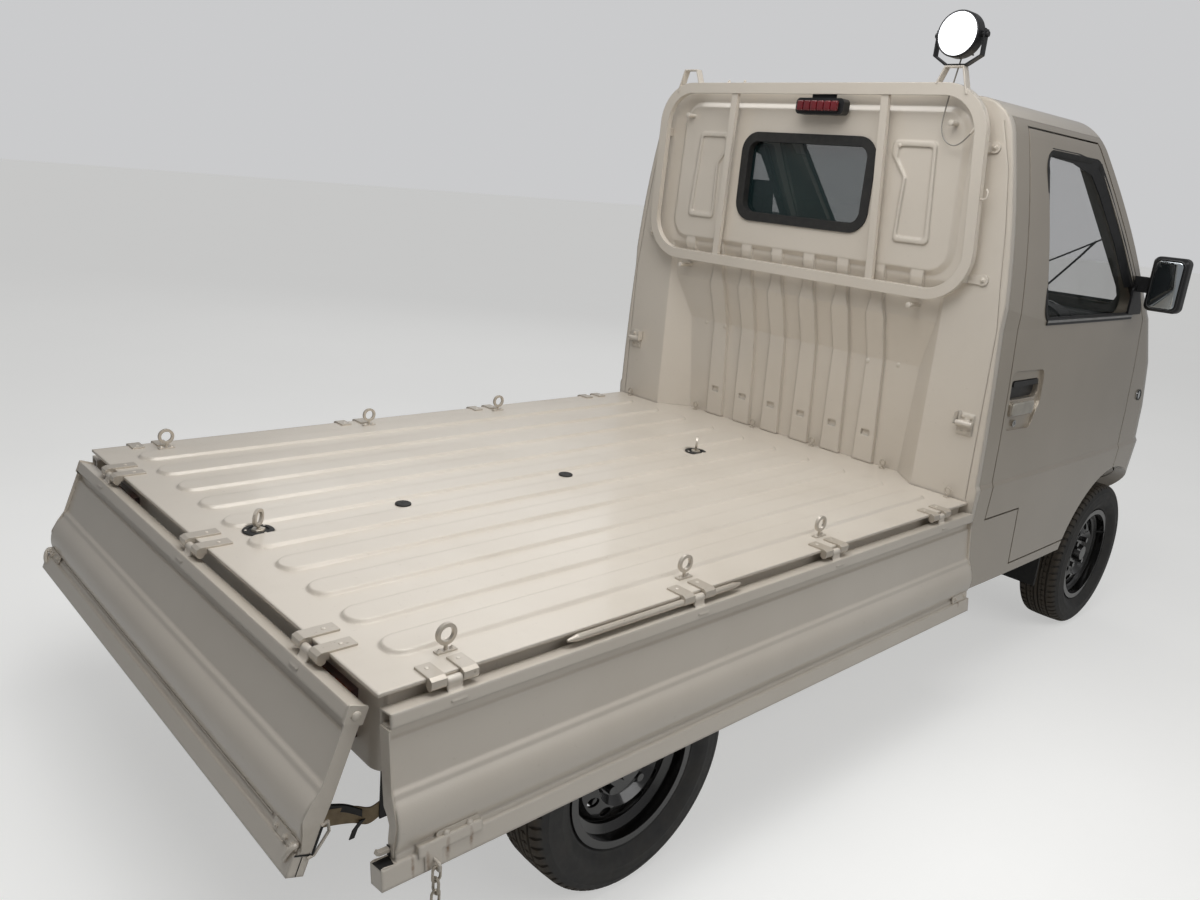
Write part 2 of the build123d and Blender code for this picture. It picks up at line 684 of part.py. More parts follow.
def cab_back():
    wall = back_outline() - back_plane_cut(0.0)
    front = block(CAB_REAR_X + BACK_WALL, CAB_REAR_X + 400, -1200, 1200, 0, 2200)
    wall = wall - leaned(front)
    face = CAB_REAR_X
    ahead = block(face, face + 300, -900, 900, 500, 1400)
    outline = rounded([
        (-PANEL_HALF, PANEL_LOW_Z), (PANEL_HALF, PANEL_LOW_Z),
        (PANEL_TOP_HALF, PANEL_TOP_Z), (-PANEL_TOP_HALF, PANEL_TOP_Z)], PANEL_R)
    foot = face_of(outline, lambda y, z: (face, y, z))
    panel = extrude(foot, amount=PANEL_PROUD, dir=(-1, 0, 0), taper=PANEL_SLOPE)
    panel = panel + prism_x(outline, face, face + 3)
    sheet_low = BED_Z - BED_SHEET
    pan = pan_volume(PAN_WALL, sheet_low - PAN_WALL) & ahead
    wall = wall + leaned(panel) + leaned(pan) - leaned(pan_volume(0.0, sheet_low - PAN_LOW_PLAY))
    dent_half, dent_rise, dent_depth = FOOT_DENT
    for place in BACK_RIB_PLACES:
        middle = place * BACK_RIB_PITCH
        rib = back_rib(middle, 0.0)
        dent_x = face + PAN_STEPS[-1][1] - BACK_RIB_PROUD - 6
        rib = rib - block(
            dent_x - 20, dent_x + dent_depth, middle - dent_half, middle + dent_half,
            FOOT_DENT_Z - dent_rise, FOOT_DENT_Z + dent_rise)
        wall = wall + leaned(rib)
    for place in BACK_TAB_PLACES:
        wall = wall + leaned(back_rib(place * BACK_RIB_PITCH, 1207.0))
    for side in (-1, 1):
        seam = [(side * y, z) for y, z in SEAM_POINTS] + [(side * (y - SEAM_WIDTH), z) for y, z in SEAM_POINTS[::-1]]
        wall = wall - leaned(prism_x(seam, face - 1, face + SEAM_WIDTH))
        wall = wall + leaned(loop_ring(side)) + leaned(gate_catch(side))
        for y, z in WALL_STUDS:
            stud = rod((face - STUD_REACH, side * y, z), (face + 20, side * y, z), STUD_R)
            head = rod((face - STUD_REACH - 3, side * y, z), (face - STUD_REACH + 1, side * y, z), STUD_R + 2)
            wall = wall + leaned(stud + head)
    hole = prism_x(rear_window_route(REAR_RUBBER), face - 40, face + BACK_WALL + 60)
    return wall - leaned(hole)


def black_trim():
    face = CAB_REAR_X - PANEL_PROUD - REAR_RUBBER_PROUD
    ring = prism_x(rear_window_route(), face, CAB_REAR_X - PANEL_PROUD - SEAT_PLAY)
    ring = ring + prism_x(rear_window_route(REAR_RUBBER + SEAT_PLAY), face, CAB_REAR_X + BACK_WALL)
    hole = prism_x(rear_window_route(REAR_RUBBER * 1.6), face - 10, CAB_REAR_X + BACK_WALL + 10)
    middle = CAB_REAR_X + BACK_WALL / 2
    slot = prism_x(rear_window_route(REAR_RUBBER + REAR_BITE - SEAT_PLAY),
                   middle - GLASS_THICK / 2 - SEAT_PLAY, middle + GLASS_THICK / 2 + SEAT_PLAY)
    grille = front_slab(GRILLE, 2, 15.5, 23.5, -LAMP_PLAY)
    for z in GRILLE_SLOTS:
        grille = grille - (block(3000, 3500, -280, 280, z - 8, z + 8) & skin(0, 10))
    return group(leaned(ring - hole - slot), grille)


# Bed

def bed_floor():
    sheet = block(0, BED_LENGTH, -BED_HALF, BED_HALF, BED_Z - BED_SHEET, BED_Z)
    whole = sheet
    for number in range(RIB_COUNT):
        middle = (number - (RIB_COUNT - 1) / 2) * RIB_PITCH
        half = RIB_WIDTH / 2
        start = RIB_START_X
        end = BED_LENGTH - RIB_END_GAP
        route = [
            (start + half, middle - half), (end - half, middle - half),
            (end, middle, end - half, middle + half), (start + half, middle + half),
            (start, middle, start + half, middle - half)]
        foot = face_of(route, lambda x, y: (x, y, BED_Z))
        whole = whole + extrude(foot, amount=RIB_HEIGHT, dir=(0, 0, 1), taper=RIB_TAPER)
    for side in (-1, 1):
        rail = block(REAR_SILL_INSET + 10, BED_LENGTH, side * SIDE_RAIL_Y, side * SILL_HALF,
                     BED_Z - SIDE_RAIL_DROP, BED_Z - BED_SHEET)
        whole = whole + rail
    sill_half = SILL_HALF
    outer = [
        (REAR_SILL_INSET + CORNER_R, -sill_half),
        (REAR_SILL_INSET + CORNER_R * 0.293, -(sill_half - CORNER_R * 0.293), REAR_SILL_INSET, CORNER_R - sill_half),
        (REAR_SILL_INSET, sill_half - CORNER_R),
        (REAR_SILL_INSET + CORNER_R * 0.293, sill_half - CORNER_R * 0.293, REAR_SILL_INSET + CORNER_R, sill_half),
        (REAR_SILL_INSET + 95, sill_half),
        (REAR_SILL_INSET + 95, sill_half - REAR_SILL_WALL),
        (REAR_SILL_INSET + REAR_SILL_WALL, sill_half - REAR_SILL_WALL),
        (REAR_SILL_INSET + REAR_SILL_WALL, REAR_SILL_WALL - sill_half),
        (REAR_SILL_INSET + 95, REAR_SILL_WALL - sill_half),
        (REAR_SILL_INSET + 95, -sill_half),
    ]
    whole = whole + prism_z(outer, REAR_SILL_Z, BED_Z - BED_SHEET)
    deepest = PAN_STEPS[-1][1] - SEAT_PLAY
    wide = PAN_HALF - 1
    narrow = wide - PAN_SIDE_SLOPE * deepest
    toe = [
        (BED_LENGTH - 1, -wide), (CAB_REAR_X, -wide), (CAB_REAR_X + deepest, -narrow),
        (CAB_REAR_X + deepest, narrow), (CAB_REAR_X, wide), (BED_LENGTH - 1, wide)]
    whole = whole + prism_z(toe, BED_Z - BED_SHEET, BED_Z)
    for place in FLOOR_EYE_X:
        whole = whole - rod((place, 0, BED_Z - 3), (place, 0, BED_Z + 20), FLOOR_EYE_ROOM_R)
    return whole


def hinge_side(side, x):
    """Fixed half of a side-gate hinge: floor strap, two knuckles and the pin."""
    pin_y = side * GATE_PIN_Y
    reach = KNUCKLE_LENGTH / 2 + KNUCKLE_GAP
    start = x - reach - KNUCKLE_LENGTH
    end = x + reach + KNUCKLE_LENGTH
    whole = rod((start, pin_y, GATE_PIN_Z), (end, pin_y, GATE_PIN_Z), PIN_R)
    for low, high in ((start, x - reach), (x + reach, end)):
        knuckle = rod((low, pin_y, GATE_PIN_Z), (high, pin_y, GATE_PIN_Z), KNUCKLE_R)
        strap = block(low, high, pin_y, side * (BED_HALF - 38), BED_Z, BED_Z + HINGE_STRAP)
        riser = prism_x([
            (pin_y, GATE_PIN_Z), (pin_y + side * KNUCKLE_R, GATE_PIN_Z), (pin_y + side * KNUCKLE_R, BED_Z),
            (pin_y, BED_Z + HINGE_STRAP), (side * (BED_HALF - 4), BED_Z + HINGE_STRAP),
            (side * (BED_HALF - 4), BED_Z), (side * (BED_HALF + 0.3), BED_Z), (side * (BED_HALF + 0.3), GATE_PIN_Z)],
            low, high)
        whole = whole + knuckle + strap + riser
    return whole


def hinge_tail(y):
    """Fixed half of a tail-gate hinge."""
    reach = KNUCKLE_LENGTH / 2 + KNUCKLE_GAP
    start = y - reach - KNUCKLE_LENGTH
    end = y + reach + KNUCKLE_LENGTH
    whole = rod((TAIL_PIN_X, start, GATE_PIN_Z), (TAIL_PIN_X, end, GATE_PIN_Z), PIN_R)
    for low, high in ((start, y - reach), (y + reach, end)):
        knuckle = rod((TAIL_PIN_X, low, GATE_PIN_Z), (TAIL_PIN_X, high, GATE_PIN_Z), KNUCKLE_R)
        strap = block(TAIL_PIN_X, 52, low, high, BED_Z, BED_Z + HINGE_STRAP)
        riser = prism_y([
            (TAIL_PIN_X, GATE_PIN_Z), (TAIL_PIN_X - KNUCKLE_R, GATE_PIN_Z), (TAIL_PIN_X - KNUCKLE_R, BED_Z),
            (TAIL_PIN_X, BED_Z + HINGE_STRAP), (4, BED_Z + HINGE_STRAP), (4, BED_Z), (-0.3, BED_Z),
            (-0.3, GATE_PIN_Z)], low, high)
        whole = whole + knuckle + strap + riser
    return whole


def eye(x, y, base, turn):
    """Ring on a short stem; turn is the ring's heading about z."""
    middle = base + EYE_STEM + EYE_BORE_R + EYE_WIRE / 2
    outer = EYE_BORE_R + EYE_WIRE
    ring = pipe((0, -EYE_WIRE / 2, middle), (0, EYE_WIRE / 2, middle), outer, EYE_BORE_R)
    stem = rod((0, 0, base), (0, 0, middle - EYE_BORE_R - 1), EYE_WIRE / 2)
    return (ring + stem).rotate(Axis.Z, turn).translate((x, y, 0))


def gap_rod(side, far, near):
    """Rod with a tapered far end that lies on the pin line beside the middle hinge."""
    way = 1 if near > far else -1
    y = side * GATE_PIN_Y
    shaft = rod((far + way * 24, y, GATE_PIN_Z), (near + way, y, GATE_PIN_Z), GAP_ROD_R)
    tip = Solid.make_cone(2.5, GAP_ROD_R, 24, Plane(origin=(far, y, GATE_PIN_Z), z_dir=(way, 0, 0)))
    return shaft + tip


def cab_eye(x, y):
    """Small rope ring at the foot of the cab's back wall, facing the bed."""
    middle = BED_Z + 8 + CAB_EYE_BORE_R + CAB_EYE_WIRE
    half = CAB_EYE_WIRE / 2
    ring = pipe((x - half, y, middle), (x + half, y, middle), CAB_EYE_BORE_R + CAB_EYE_WIRE, CAB_EYE_BORE_R)
    stem = rod((x, y, BED_Z + 1), (x, y, middle - CAB_EYE_BORE_R - 1), 2.5)
    return ring + stem + rod((x, y, BED_Z), (x, y, BED_Z + 2.5), 9)


def bed_fittings():
    pieces = []
    for _, side in SIDES:
        for x in SIDE_HINGE_X:
            hinge = hinge_side(side, x)
            if x == SIDE_HINGE_X[1]:
                for far, near in GAP_RODS:
                    hinge = hinge + gap_rod(side, far, near)
            pieces.append(hinge)
        for x in EYE_X:
            foot = block(x - 20, x + 20, side * (EYE_Y - 22), side * (EYE_Y - 8), BED_Z, BED_Z + 3)
            pieces.append(joined(foot, eye(x, side * (EYE_Y - 15), BED_Z + 2, 0)))
        for x, y in CAB_EYES:
            pieces.append(cab_eye(x, side * y))
    for y in TAIL_HINGE_Y:
        pieces.append(hinge_tail(y))
    for x in FLOOR_EYE_X:
        plate = rod((x, 0, BED_Z - 3), (x, 0, BED_Z), 24)
        pieces.append(joined(plate, eye(x, 0, BED_Z - 1, 40)))
    for x in FLOOR_PLUG_X:
        pieces.append(rod((x, 0, BED_Z), (x, 0, BED_Z + 4), FLOOR_PLUG_R))
    return group(*pieces)


def gate_profile():
    """Section of a gate: rail, recessed line, flat panel, bulge, ledge and box rail."""
    thick = GATE_HALF_THICK
    back = GATE_PANEL_FACE - GATE_PANEL_THICK
    start = GATE_START
    end = GATE_HEIGHT
    face = GATE_PANEL_FACE
    bulge = GATE_BULGE_FACE
    box = end - GATE_BOX
    return [
        (start, -thick), (start, thick), (start + GATE_RAIL - 4, thick), (start + GATE_RAIL, face - 5),
        (start + GATE_RAIL + 15, face - 5), (start + GATE_RAIL + 18, face),
        (start + 130, face), (start + 137, face + 6), (start + 146, face + 7),
        (start + 188, bulge, start + 232, face + 4),
        (box - 11, face + 3), (box - 9, thick - 4), (box - 1, thick - 4), (box, thick + 3), (end, thick + 3),
        (end, -thick + 6), (box, -thick + 6), (box - 6, back), (start + 232, back),
        (start + 188, back + 12, start + 146, back), (start + GATE_RAIL + 5, back), (start + GATE_RAIL, -thick)]


def gate_body(place, low, high, hinges):
    """Gate drawn along its pin from low to high; place(a, b, along) gives a point."""
    reach = Vector(*place(0, 0, high)) - Vector(*place(0, 0, low))
    panel = Solid.extrude(face_of(gate_profile(), lambda a, b: place(a, b, low)), reach)
    leaf = [
        (3, KNUCKLE_R - 1.7), (GATE_START - 3, KNUCKLE_R - 1.7), (GATE_START + 14, GATE_HALF_THICK + 3),
        (GATE_START + 14, GATE_HALF_THICK - 3),
        (GATE_START + 3, GATE_HALF_THICK - 3), (GATE_START + 3, GATE_HALF_THICK - 12), (PIN_R + 1.8, 1)]
    for middle in hinges:
        start = middle - KNUCKLE_LENGTH / 2
        end = middle + KNUCKLE_LENGTH / 2
        width = Vector(*place(0, 0, end)) - Vector(*place(0, 0, start))
        strap = Solid.extrude(face_of(leaf, lambda a, b, h=start: place(a, b, h)), width)
        knuckle = rod(place(0, 0, start), place(0, 0, end), KNUCKLE_R)
        bore = rod(place(0, 0, start - 1), place(0, 0, end + 1), PIN_R + PIN_PLAY)
        panel = panel + (strap + knuckle) - bore
    near, far, half = RAIL_BORE
    square = [(near, -half), (near, half), (far, half), (far, -half)]
    for end, way in ((low, 1), (high, -1)):
        mouth = face_of(square, lambda a, b, h=end - way: place(a, b, h))
        depth = Vector(*place(0, 0, end + way * RAIL_BORE_DEPTH)) - Vector(*place(0, 0, end))
        panel = panel - Solid.extrude(mouth, depth)
    return panel


def gate_side(side):
    """Side gate, already hanging at its lean."""
    lean = math.radians(GATE_LEAN)

    def place(a, b, x):
        y = side * (GATE_PIN_Y + a * math.sin(lean) + b * math.cos(lean))
        return (x, y, GATE_PIN_Z - a * math.cos(lean) + b * math.sin(lean))

    panel = gate_body(place, GATE_REAR_X, GATE_FRONT_X, SIDE_HINGE_X)
    low = GATE_HEIGHT - GATE_BOX
    half = GATE_HALF_THICK
    box = [(low, 3 - half), (low, half + 3), (GATE_HEIGHT, half + 3), (GATE_HEIGHT, 3 - half)]
    end = face_of(box, lambda a, b: place(a, b, GATE_REAR_X - BOX_REACH))
    panel = panel + Solid.extrude(end, Vector(BOX_REACH + 5, 0, 0))
    if side < 0:
        panel = panel + chain_staple()
    return panel


def tailgate():
    lean = math.radians(TAIL_LEAN)

    def place(a, b, y):
        x = TAIL_PIN_X - a * math.sin(lean) - b * math.cos(lean)
        return (x, y, GATE_PIN_Z - a * math.cos(lean) + b * math.sin(lean))

    return gate_body(place, -TAIL_HALF, TAIL_HALF, TAIL_HINGE_Y)


def chain_top():
    """Place of the first link's top, in front of the right gate's bottom rail."""
    lean = math.radians(GATE_LEAN)
    down = GATE_HEIGHT - 16
    out = GATE_HALF_THICK + 14
    y, _ = gate_spot(down, out)
    return y, GATE_PIN_Z - down * math.cos(lean)


def chain_staple():
    """Plate and staple on the right gate; the first link hangs on the staple's lower leg."""
    y, top = chain_top()
    low = top - LINK_WIRE * 1.5 - LINK_PLAY / 2
    high = top + LINK_WIRE + 1
    inside = y + 17
    outside = y - LINK_WIRE - 3
    wire = bent_rod([
        (CHAIN_X, inside, low), (CHAIN_X, outside, low), (CHAIN_X, outside, high), (CHAIN_X, inside, high)],
        3, LINK_WIRE / 2)
    whole = wire
    for low_a, high_a, low_b, high_b, rear, front in CHAIN_PLATES:
        corners = []
        for a, b in ((low_a, low_b), (low_a, high_b), (high_a, high_b), (high_a, low_b)):
            corners.append(gate_spot(a, b))
        whole = whole + prism_x(corners, CHAIN_X + rear, CHAIN_X + front)
    return whole


def gate_spot(a, b):
    """Point (y, z) of the hanging right gate's section."""
    lean = math.radians(GATE_LEAN)
    y = -(GATE_PIN_Y + a * math.sin(lean) + b * math.cos(lean))
    return y, GATE_PIN_Z - a * math.cos(lean) + b * math.sin(lean)


def gate_chain():
    """Links hang below the rear corner of the right gate, each turned a quarter from the last."""
    hang_y, top = chain_top()
    pitch = LINK_LENGTH - 2 * LINK_WIRE - LINK_PLAY
    links = []
    for number in range(LINK_COUNT):
        middle = top - LINK_LENGTH / 2 - number * pitch
        links.append(link(CHAIN_X, hang_y, middle, 90 * (number % 2)))
    return group(*links)


def link(x, y, z, turn):
    half_w = (LINK_WIDTH - LINK_WIRE) / 2
    half_l = (LINK_LENGTH - LINK_WIRE) / 2
    points = [(half_w, 0, -half_l), (half_w, 0, half_l), (-half_w, 0, half_l), (-half_w, 0, -half_l)]
    path = FilletPolyline(*points, radius=half_w - 0.01, close=True)
    section = Plane(origin=path @ 0, z_dir=path % 0) * RegularPolygon(LINK_WIRE / 2, 6)
    return sweep(section, path=path).rotate(Axis.Z, turn).translate((x, y, z))


# Running gear

def tyre(x, y, side):
    """Tyre turned about y; its shoulder and side wall are arcs."""
    half = TYRE_WIDTH / 2
    tread = half - 22
    crown = TYRE_R
    bead = RIM_R + WHEEL_GAP
    bead_half = RIM_WIDTH / 2 - RIM_WALL - WHEEL_GAP - 4
    route = [
        (bead, -bead_half), (bead, bead_half),
        (bead + 14, bead_half + 2), (bead + 46, half, crown - 22, half - 4),
        (crown - 7, half - 13, crown - 1, tread),
        (crown, 0, crown - 1, -tread), (crown - 7, 13 - half, crown - 22, 4 - half),
        (bead + 46, -half, bead + 14, -bead_half - 2)]
    face = face_of(route, lambda r, w: (x, y + w, TYRE_R + r))
    return Solid.revolve(face, 360, Axis((x, y, TYRE_R), (0, 1, 0)))


def rim(x, y, side):
    """Pressed steel wheel: rim, dished disc with vent holes, centre bore, cap and nuts."""
    half = RIM_WIDTH / 2
    wall = RIM_WALL
    well = RIM_R - 18
    lip = RIM_R + 12
    band = [
        (lip, -half), (lip, wall - half), (RIM_R, wall - half), (RIM_R, -half / 2), (well, -half / 3),
        (well, half / 3), (RIM_R, half / 2), (RIM_R, half - wall), (lip, half - wall), (lip, half),
        (RIM_R - wall, half), (RIM_R - wall, half / 2), (well - wall, half / 3),
        (well - wall, -half / 3), (RIM_R - wall, -half / 2), (RIM_R - wall, -half)]

    def place(r, w):
        return (x, y + side * w, TYRE_R + r)

    axis = Axis((x, y, TYRE_R), (0, 1, 0))
    whole = Solid.revolve(face_of(band, place), 360, axis)
    disc = [
        (HUB_BORE_R, DISC_OFFSET), (HUB_FACE_R, DISC_OFFSET), (HUB_FACE_R + 16, DISC_OFFSET + 16),
        (VENT_CIRCLE_R + 18, DISC_OFFSET + 4), (well - wall + 1, half / 3 - 12), (well - wall + 1, half / 3 - 18),
        (VENT_CIRCLE_R + 14, DISC_OFFSET - 2), (HUB_FACE_R + 18, DISC_OFFSET + 9), (HUB_FACE_R + 3, DISC_OFFSET - 7),
        (HUB_BORE_R, DISC_OFFSET - 7)]
    dish = Solid.revolve(face_of(disc, place), 360, axis)
    for number in range(VENT_COUNT):
        turn = math.radians(360 / VENT_COUNT * number)
        hole = rod(
            (x + VENT_CIRCLE_R * math.cos(turn), y - 60, TYRE_R + VENT_CIRCLE_R * math.sin(turn)),
            (x + VENT_CIRCLE_R * math.cos(turn), y + 80, TYRE_R + VENT_CIRCLE_R * math.sin(turn)), VENT_R)
        dish = dish - hole
    whole = whole + dish
    cap = [(0, DISC_OFFSET - 6), (HUB_BORE_R + 2, DISC_OFFSET - 6), (HUB_BORE_R + 2, DISC_OFFSET + 3),
           (HUB_BORE_R - 4, DISC_OFFSET + 24), (0, DISC_OFFSET + 24)]
    whole = whole + Solid.revolve(face_of(cap, place), 360, axis)
    for number in range(LUG_COUNT):
        turn = math.radians(360 / LUG_COUNT * number + 45)
        across = x + LUG_CIRCLE_R * math.cos(turn)
        up = TYRE_R + LUG_CIRCLE_R * math.sin(turn)
        inside = y + side * (DISC_OFFSET - 2)
        outside = y + side * (DISC_OFFSET + 16)
        whole = whole + rod((across, inside, up), (across, outside, up), 9.5)
    return whole


def ladder_frame():
    top = [(REAR_SILL_INSET + REAR_SILL_WALL, BED_Z - BED_SHEET - BEAM_DEPTH), (1400, BED_Z - BED_SHEET - BEAM_DEPTH),
           (1700, 400), (2500, 400), (2750, 428), (3240, 428)]
    bottom = [(x, z - FRAME_RAIL_DEPTH) for x, z in reversed(top)]
    rail = prism_y(top + bottom, FRAME_RAIL_Y, FRAME_RAIL_Y + FRAME_RAIL_WIDTH)
    whole = joined(rail, other_side(rail))
    reach = FRAME_RAIL_Y + FRAME_RAIL_WIDTH
    beam_low = BED_Z - BED_SHEET - BEAM_DEPTH
    for x in BEAM_X:
        whole = whole + block(x - BEAM_WIDTH / 2, x + BEAM_WIDTH / 2, REAR_SILL_WALL - SILL_HALF,
                              SILL_HALF - REAR_SILL_WALL, beam_low, BED_Z - BED_SHEET)
    for side in (-1, 1):
        whole = whole + block(BEAM_X[-1] - 25, BEAM_X[-1] + 25, side * FRAME_RAIL_Y, side * reach, 400, beam_low + 10)
    for x, z, r in ((200, 550, 28), (1000, 550, 28), (1850, 322, 20), (2610, 380, 26), (3190, 388, 26)):
        whole = whole + rod((x, -reach + 5, z), (x, reach - 5, z), r)
    return whole


def rear_axle():
    half = TRACK_HALF - BRAKE_DRUM_WIDTH / 2
    whole = rod((REAR_AXLE_X, -half, TYRE_R), (REAR_AXLE_X, half, TYRE_R), AXLE_TUBE_R)
    route = [(-125, 0), (-72, 66, 0, 96), (72, 66, 125, 0)]
    face = face_of(route, lambda w, r: (REAR_AXLE_X, w, TYRE_R + r))
    whole = whole + Solid.revolve(face, 360, Axis((REAR_AXLE_X, 0, TYRE_R), (0, 1, 0)))
    whole = whole + rod((REAR_AXLE_X, 0, TYRE_R), (REAR_AXLE_X + 170, 0, TYRE_R + 14), 42)
    shaft = rod((REAR_AXLE_X + 165, 0, TYRE_R + 14), (2050, 0, 400), 32)
    flange = rod((2030, 0, 399), (2059.7, 0, 399), 45)
    return whole + shaft + flange


def brake_unit(x, y, side, radius):
    """Drum and wheel flange, seated against the wheel's disc."""
    seat = y + side * (DISC_OFFSET - 7 - WHEEL_GAP)
    drum = rod((x, seat, TYRE_R), (x, seat - side * BRAKE_DRUM_WIDTH, TYRE_R), radius)
    return drum


def leaf_springs():
    seat = TYRE_R + AXLE_TUBE_R
    front = REAR_AXLE_X + SPRING_HALF
    back = REAR_AXLE_X - SPRING_HALF
    eye_z = seat + 92
    leaf = SPRING_LEAF
    low = SPRING_Y - SPRING_WIDTH / 2
    high = SPRING_Y + SPRING_WIDTH / 2
    pack = prism_y([
        (back, eye_z), (REAR_AXLE_X, seat + 2, front, eye_z), (front, eye_z + leaf),
        (REAR_AXLE_X, seat + 2 + 3 * leaf, back, eye_z + leaf)], low, high)
    whole = pack
    for x in (back, front):
        whole = whole + rod((x, low, eye_z + 4), (x, high, eye_z + 4), 22)
    beam_low = BED_Z - BED_SHEET - BEAM_DEPTH
    for x in (back, front):
        hanger = block(x - 24, x + 24, FRAME_RAIL_Y + FRAME_RAIL_WIDTH, low - 2, eye_z - 20, beam_low - 20)
        tongue = rod((x, low - 14, eye_z + 4), (x, low + 10, eye_z + 4), 12)
        whole = whole + hanger + tongue
    clamp = block(REAR_AXLE_X - 45, REAR_AXLE_X + 45, low - 6, high + 6, TYRE_R + AXLE_TUBE_R - 6, seat + 32)
    whole = whole + clamp - rod((REAR_AXLE_X, low - 20, TYRE_R), (REAR_AXLE_X, high + 20, TYRE_R), AXLE_TUBE_R)
    return group(whole, other_side(whole))


def kingpin_point(side, z):
    share = (z - KINGPIN_LOW_Z) / (KINGPIN_TOP_Z - KINGPIN_LOW_Z)
    return (FRONT_AXLE_X, side * (KINGPIN_LOW_Y + share * (KINGPIN_TOP_Y - KINGPIN_LOW_Y)), z)


def knuckle(side):
    low = kingpin_point(side, KINGPIN_LOW_Z)
    foot = kingpin_point(side, TYRE_R + 60)
    whole = rod(low, foot, 22)
    whole = whole + rod(kingpin_point(side, TYRE_R + 40), kingpin_point(side, KINGPIN_TOP_Z), STRUT_R)
    whole = whole + rod((FRONT_AXLE_X, side * 565, TYRE_R), (FRONT_AXLE_X, side * (TRACK_HALF - 15), TYRE_R), 26)
    whole = whole + brake_unit(FRONT_AXLE_X, side * TRACK_HALF, side, BRAKE_DISC_R)
    spring = pipe(kingpin_point(side, 575), kingpin_point(side, KINGPIN_TOP_Z - 20), 46, STRUT_R - 2)
    return whole + spring


def front_suspension():
    whole = block(FRONT_AXLE_X - 60, FRONT_AXLE_X + 60, -300, 300, 190, 250)
    for side in (-1, 1):
        arm = prism_z([
            (FRONT_AXLE_X - 130, side * 250), (FRONT_AXLE_X + 30, side * 250),
            (FRONT_AXLE_X + 22, side * (KINGPIN_LOW_Y + 15)), (FRONT_AXLE_X - 22, side * (KINGPIN_LOW_Y + 15))],
            KINGPIN_LOW_Z - 40, KINGPIN_LOW_Z - 5 - 0.3)
        riser = block(FRONT_AXLE_X - 60, FRONT_AXLE_X + 60, side * 290, side * 350, 190, 428 - FRAME_RAIL_DEPTH)
        whole = whole + block(
            FRONT_AXLE_X - 130, FRONT_AXLE_X + 60, side * 230, side * 300, KINGPIN_LOW_Z - 40, 200) + arm + riser
    return whole


def cab_floor():
    floor_z = 430.0
    wall = 15.0
    inner = BODY_STATIONS[0][1] - CAB_WALL - 10
    rear = CAB_REAR_X + PAN_STEPS[-1][1] + PAN_WALL + 6
    whole = block(rear, 3290, -inner, inner, floor_z, floor_z + wall)
    box_out = block(rear, 2560, -inner, inner, floor_z, 700)
    box_in = block(rear - 30, 2560 - wall, -inner + wall, inner - wall, floor_z - 20, 700 - wall)
    whole = whole + box_out - box_in
    housing = ARCH_R + 14
    for side in (-1, 1):
        centre = (FRONT_AXLE_X, TYRE_R)
        cover = rod((centre[0], side * 430, centre[1]), (centre[0], side * (inner - 1), centre[1]), housing)
        hollow = rod((centre[0], side * 442, centre[1]), (centre[0], side * (inner + 60), centre[1]), housing - 12)
        cover = cover & block(FRONT_AXLE_X - 600, 3290, side * 400, side * inner, floor_z - 80, 1000)
        tower = rod(kingpin_point(side, 560), kingpin_point(side, KINGPIN_TOP_Z + 14), 74)
        well = rod(kingpin_point(side, 450), kingpin_point(side, KINGPIN_TOP_Z + 0.4), 62)
        whole = whole + cover + tower - hollow - well
    return whole & lower_body(CAB_WALL + SEAT_PLAY, 200.0)


def seats():
    whole = []
    for side in (-1, 1):
        low = side * 110
        high = side * 560
        cushion = prism_y([(2070, 700.3), (2540, 700.3), (2560, 760), (2520, 815), (2100, 800)], low, high)
        back = prism_y([(2010, 740), (2110, 790), (2040, 1330), (1962, 1330), (1958, 1200)], low, high)
        head = prism_y([(1972, 1325), (2030, 1325), (2010, 1480), (1962, 1480)], side * 220, side * 450)
        whole.append(cushion + back + head)
    return group(*whole)


def dashboard():
    bulk = prism_y([
        (2890, 850), (2880, 1010), (2935, 1100), (3000, 1130), (3400, 1130), (3400, 790), (2960, 790)], -800, 800)
    door_end = DOOR_BELT_FRONT_X + DOOR_GAP
    clear = CAB_WALL + DOOR_GAP + 1
    middle = bulk & (lower_body(clear) + upper_body(clear))
    ends = bulk & block(door_end, 3500, -900, 900, 500, 1300)
    ends = ends & (lower_body(CAB_WALL + SEAT_PLAY) + upper_body(CAB_WALL + SEAT_PLAY))
    bulk = middle + ends
    start = column_point(30)
    end = column_point(340)
    return bulk + (rod(start, end, 30) & block(2700, 3300, -500, 0, 500, 1200))


def column_point(reach):
    """Point on the steering column, reach below the wheel's centre."""
    tilt = math.radians(STEER_TILT)
    return (STEER_X + reach * math.sin(tilt), DRIVER_Y, STEER_Z - reach * math.cos(tilt))


def steering_wheel():
    plane = Plane(origin=(STEER_X, DRIVER_Y, STEER_Z), z_dir=Vector(*column_point(-1)) - Vector(*column_point(0)))
    rim_ring = Solid.make_torus(STEER_R, STEER_RIM_R, plane)
    hub = rod(column_point(-4), column_point(29), 44)
    whole = rim_ring + hub
    for turn in (90, 210, 330):
        angle = math.radians(turn)
        end = plane.from_local_coords((STEER_R * math.cos(angle), STEER_R * math.sin(angle), 0))
        whole = whole + rod(column_point(10), (end.X, end.Y, end.Z), 11)
    return whole


def engine():
    return block(2060, 2520, -230, 230, 318, 640)


def fuel_tank():
    tank = prism_x(rounded([(400, 350), (640, 350), (640, 540), (400, 540)], 30), 1180, 1620)
    for x in (1220, 1340):
        tank = tank + block(x, x + 40, FRAME_RAIL_Y + FRAME_RAIL_WIDTH, 430, 515, 538)
    return tank


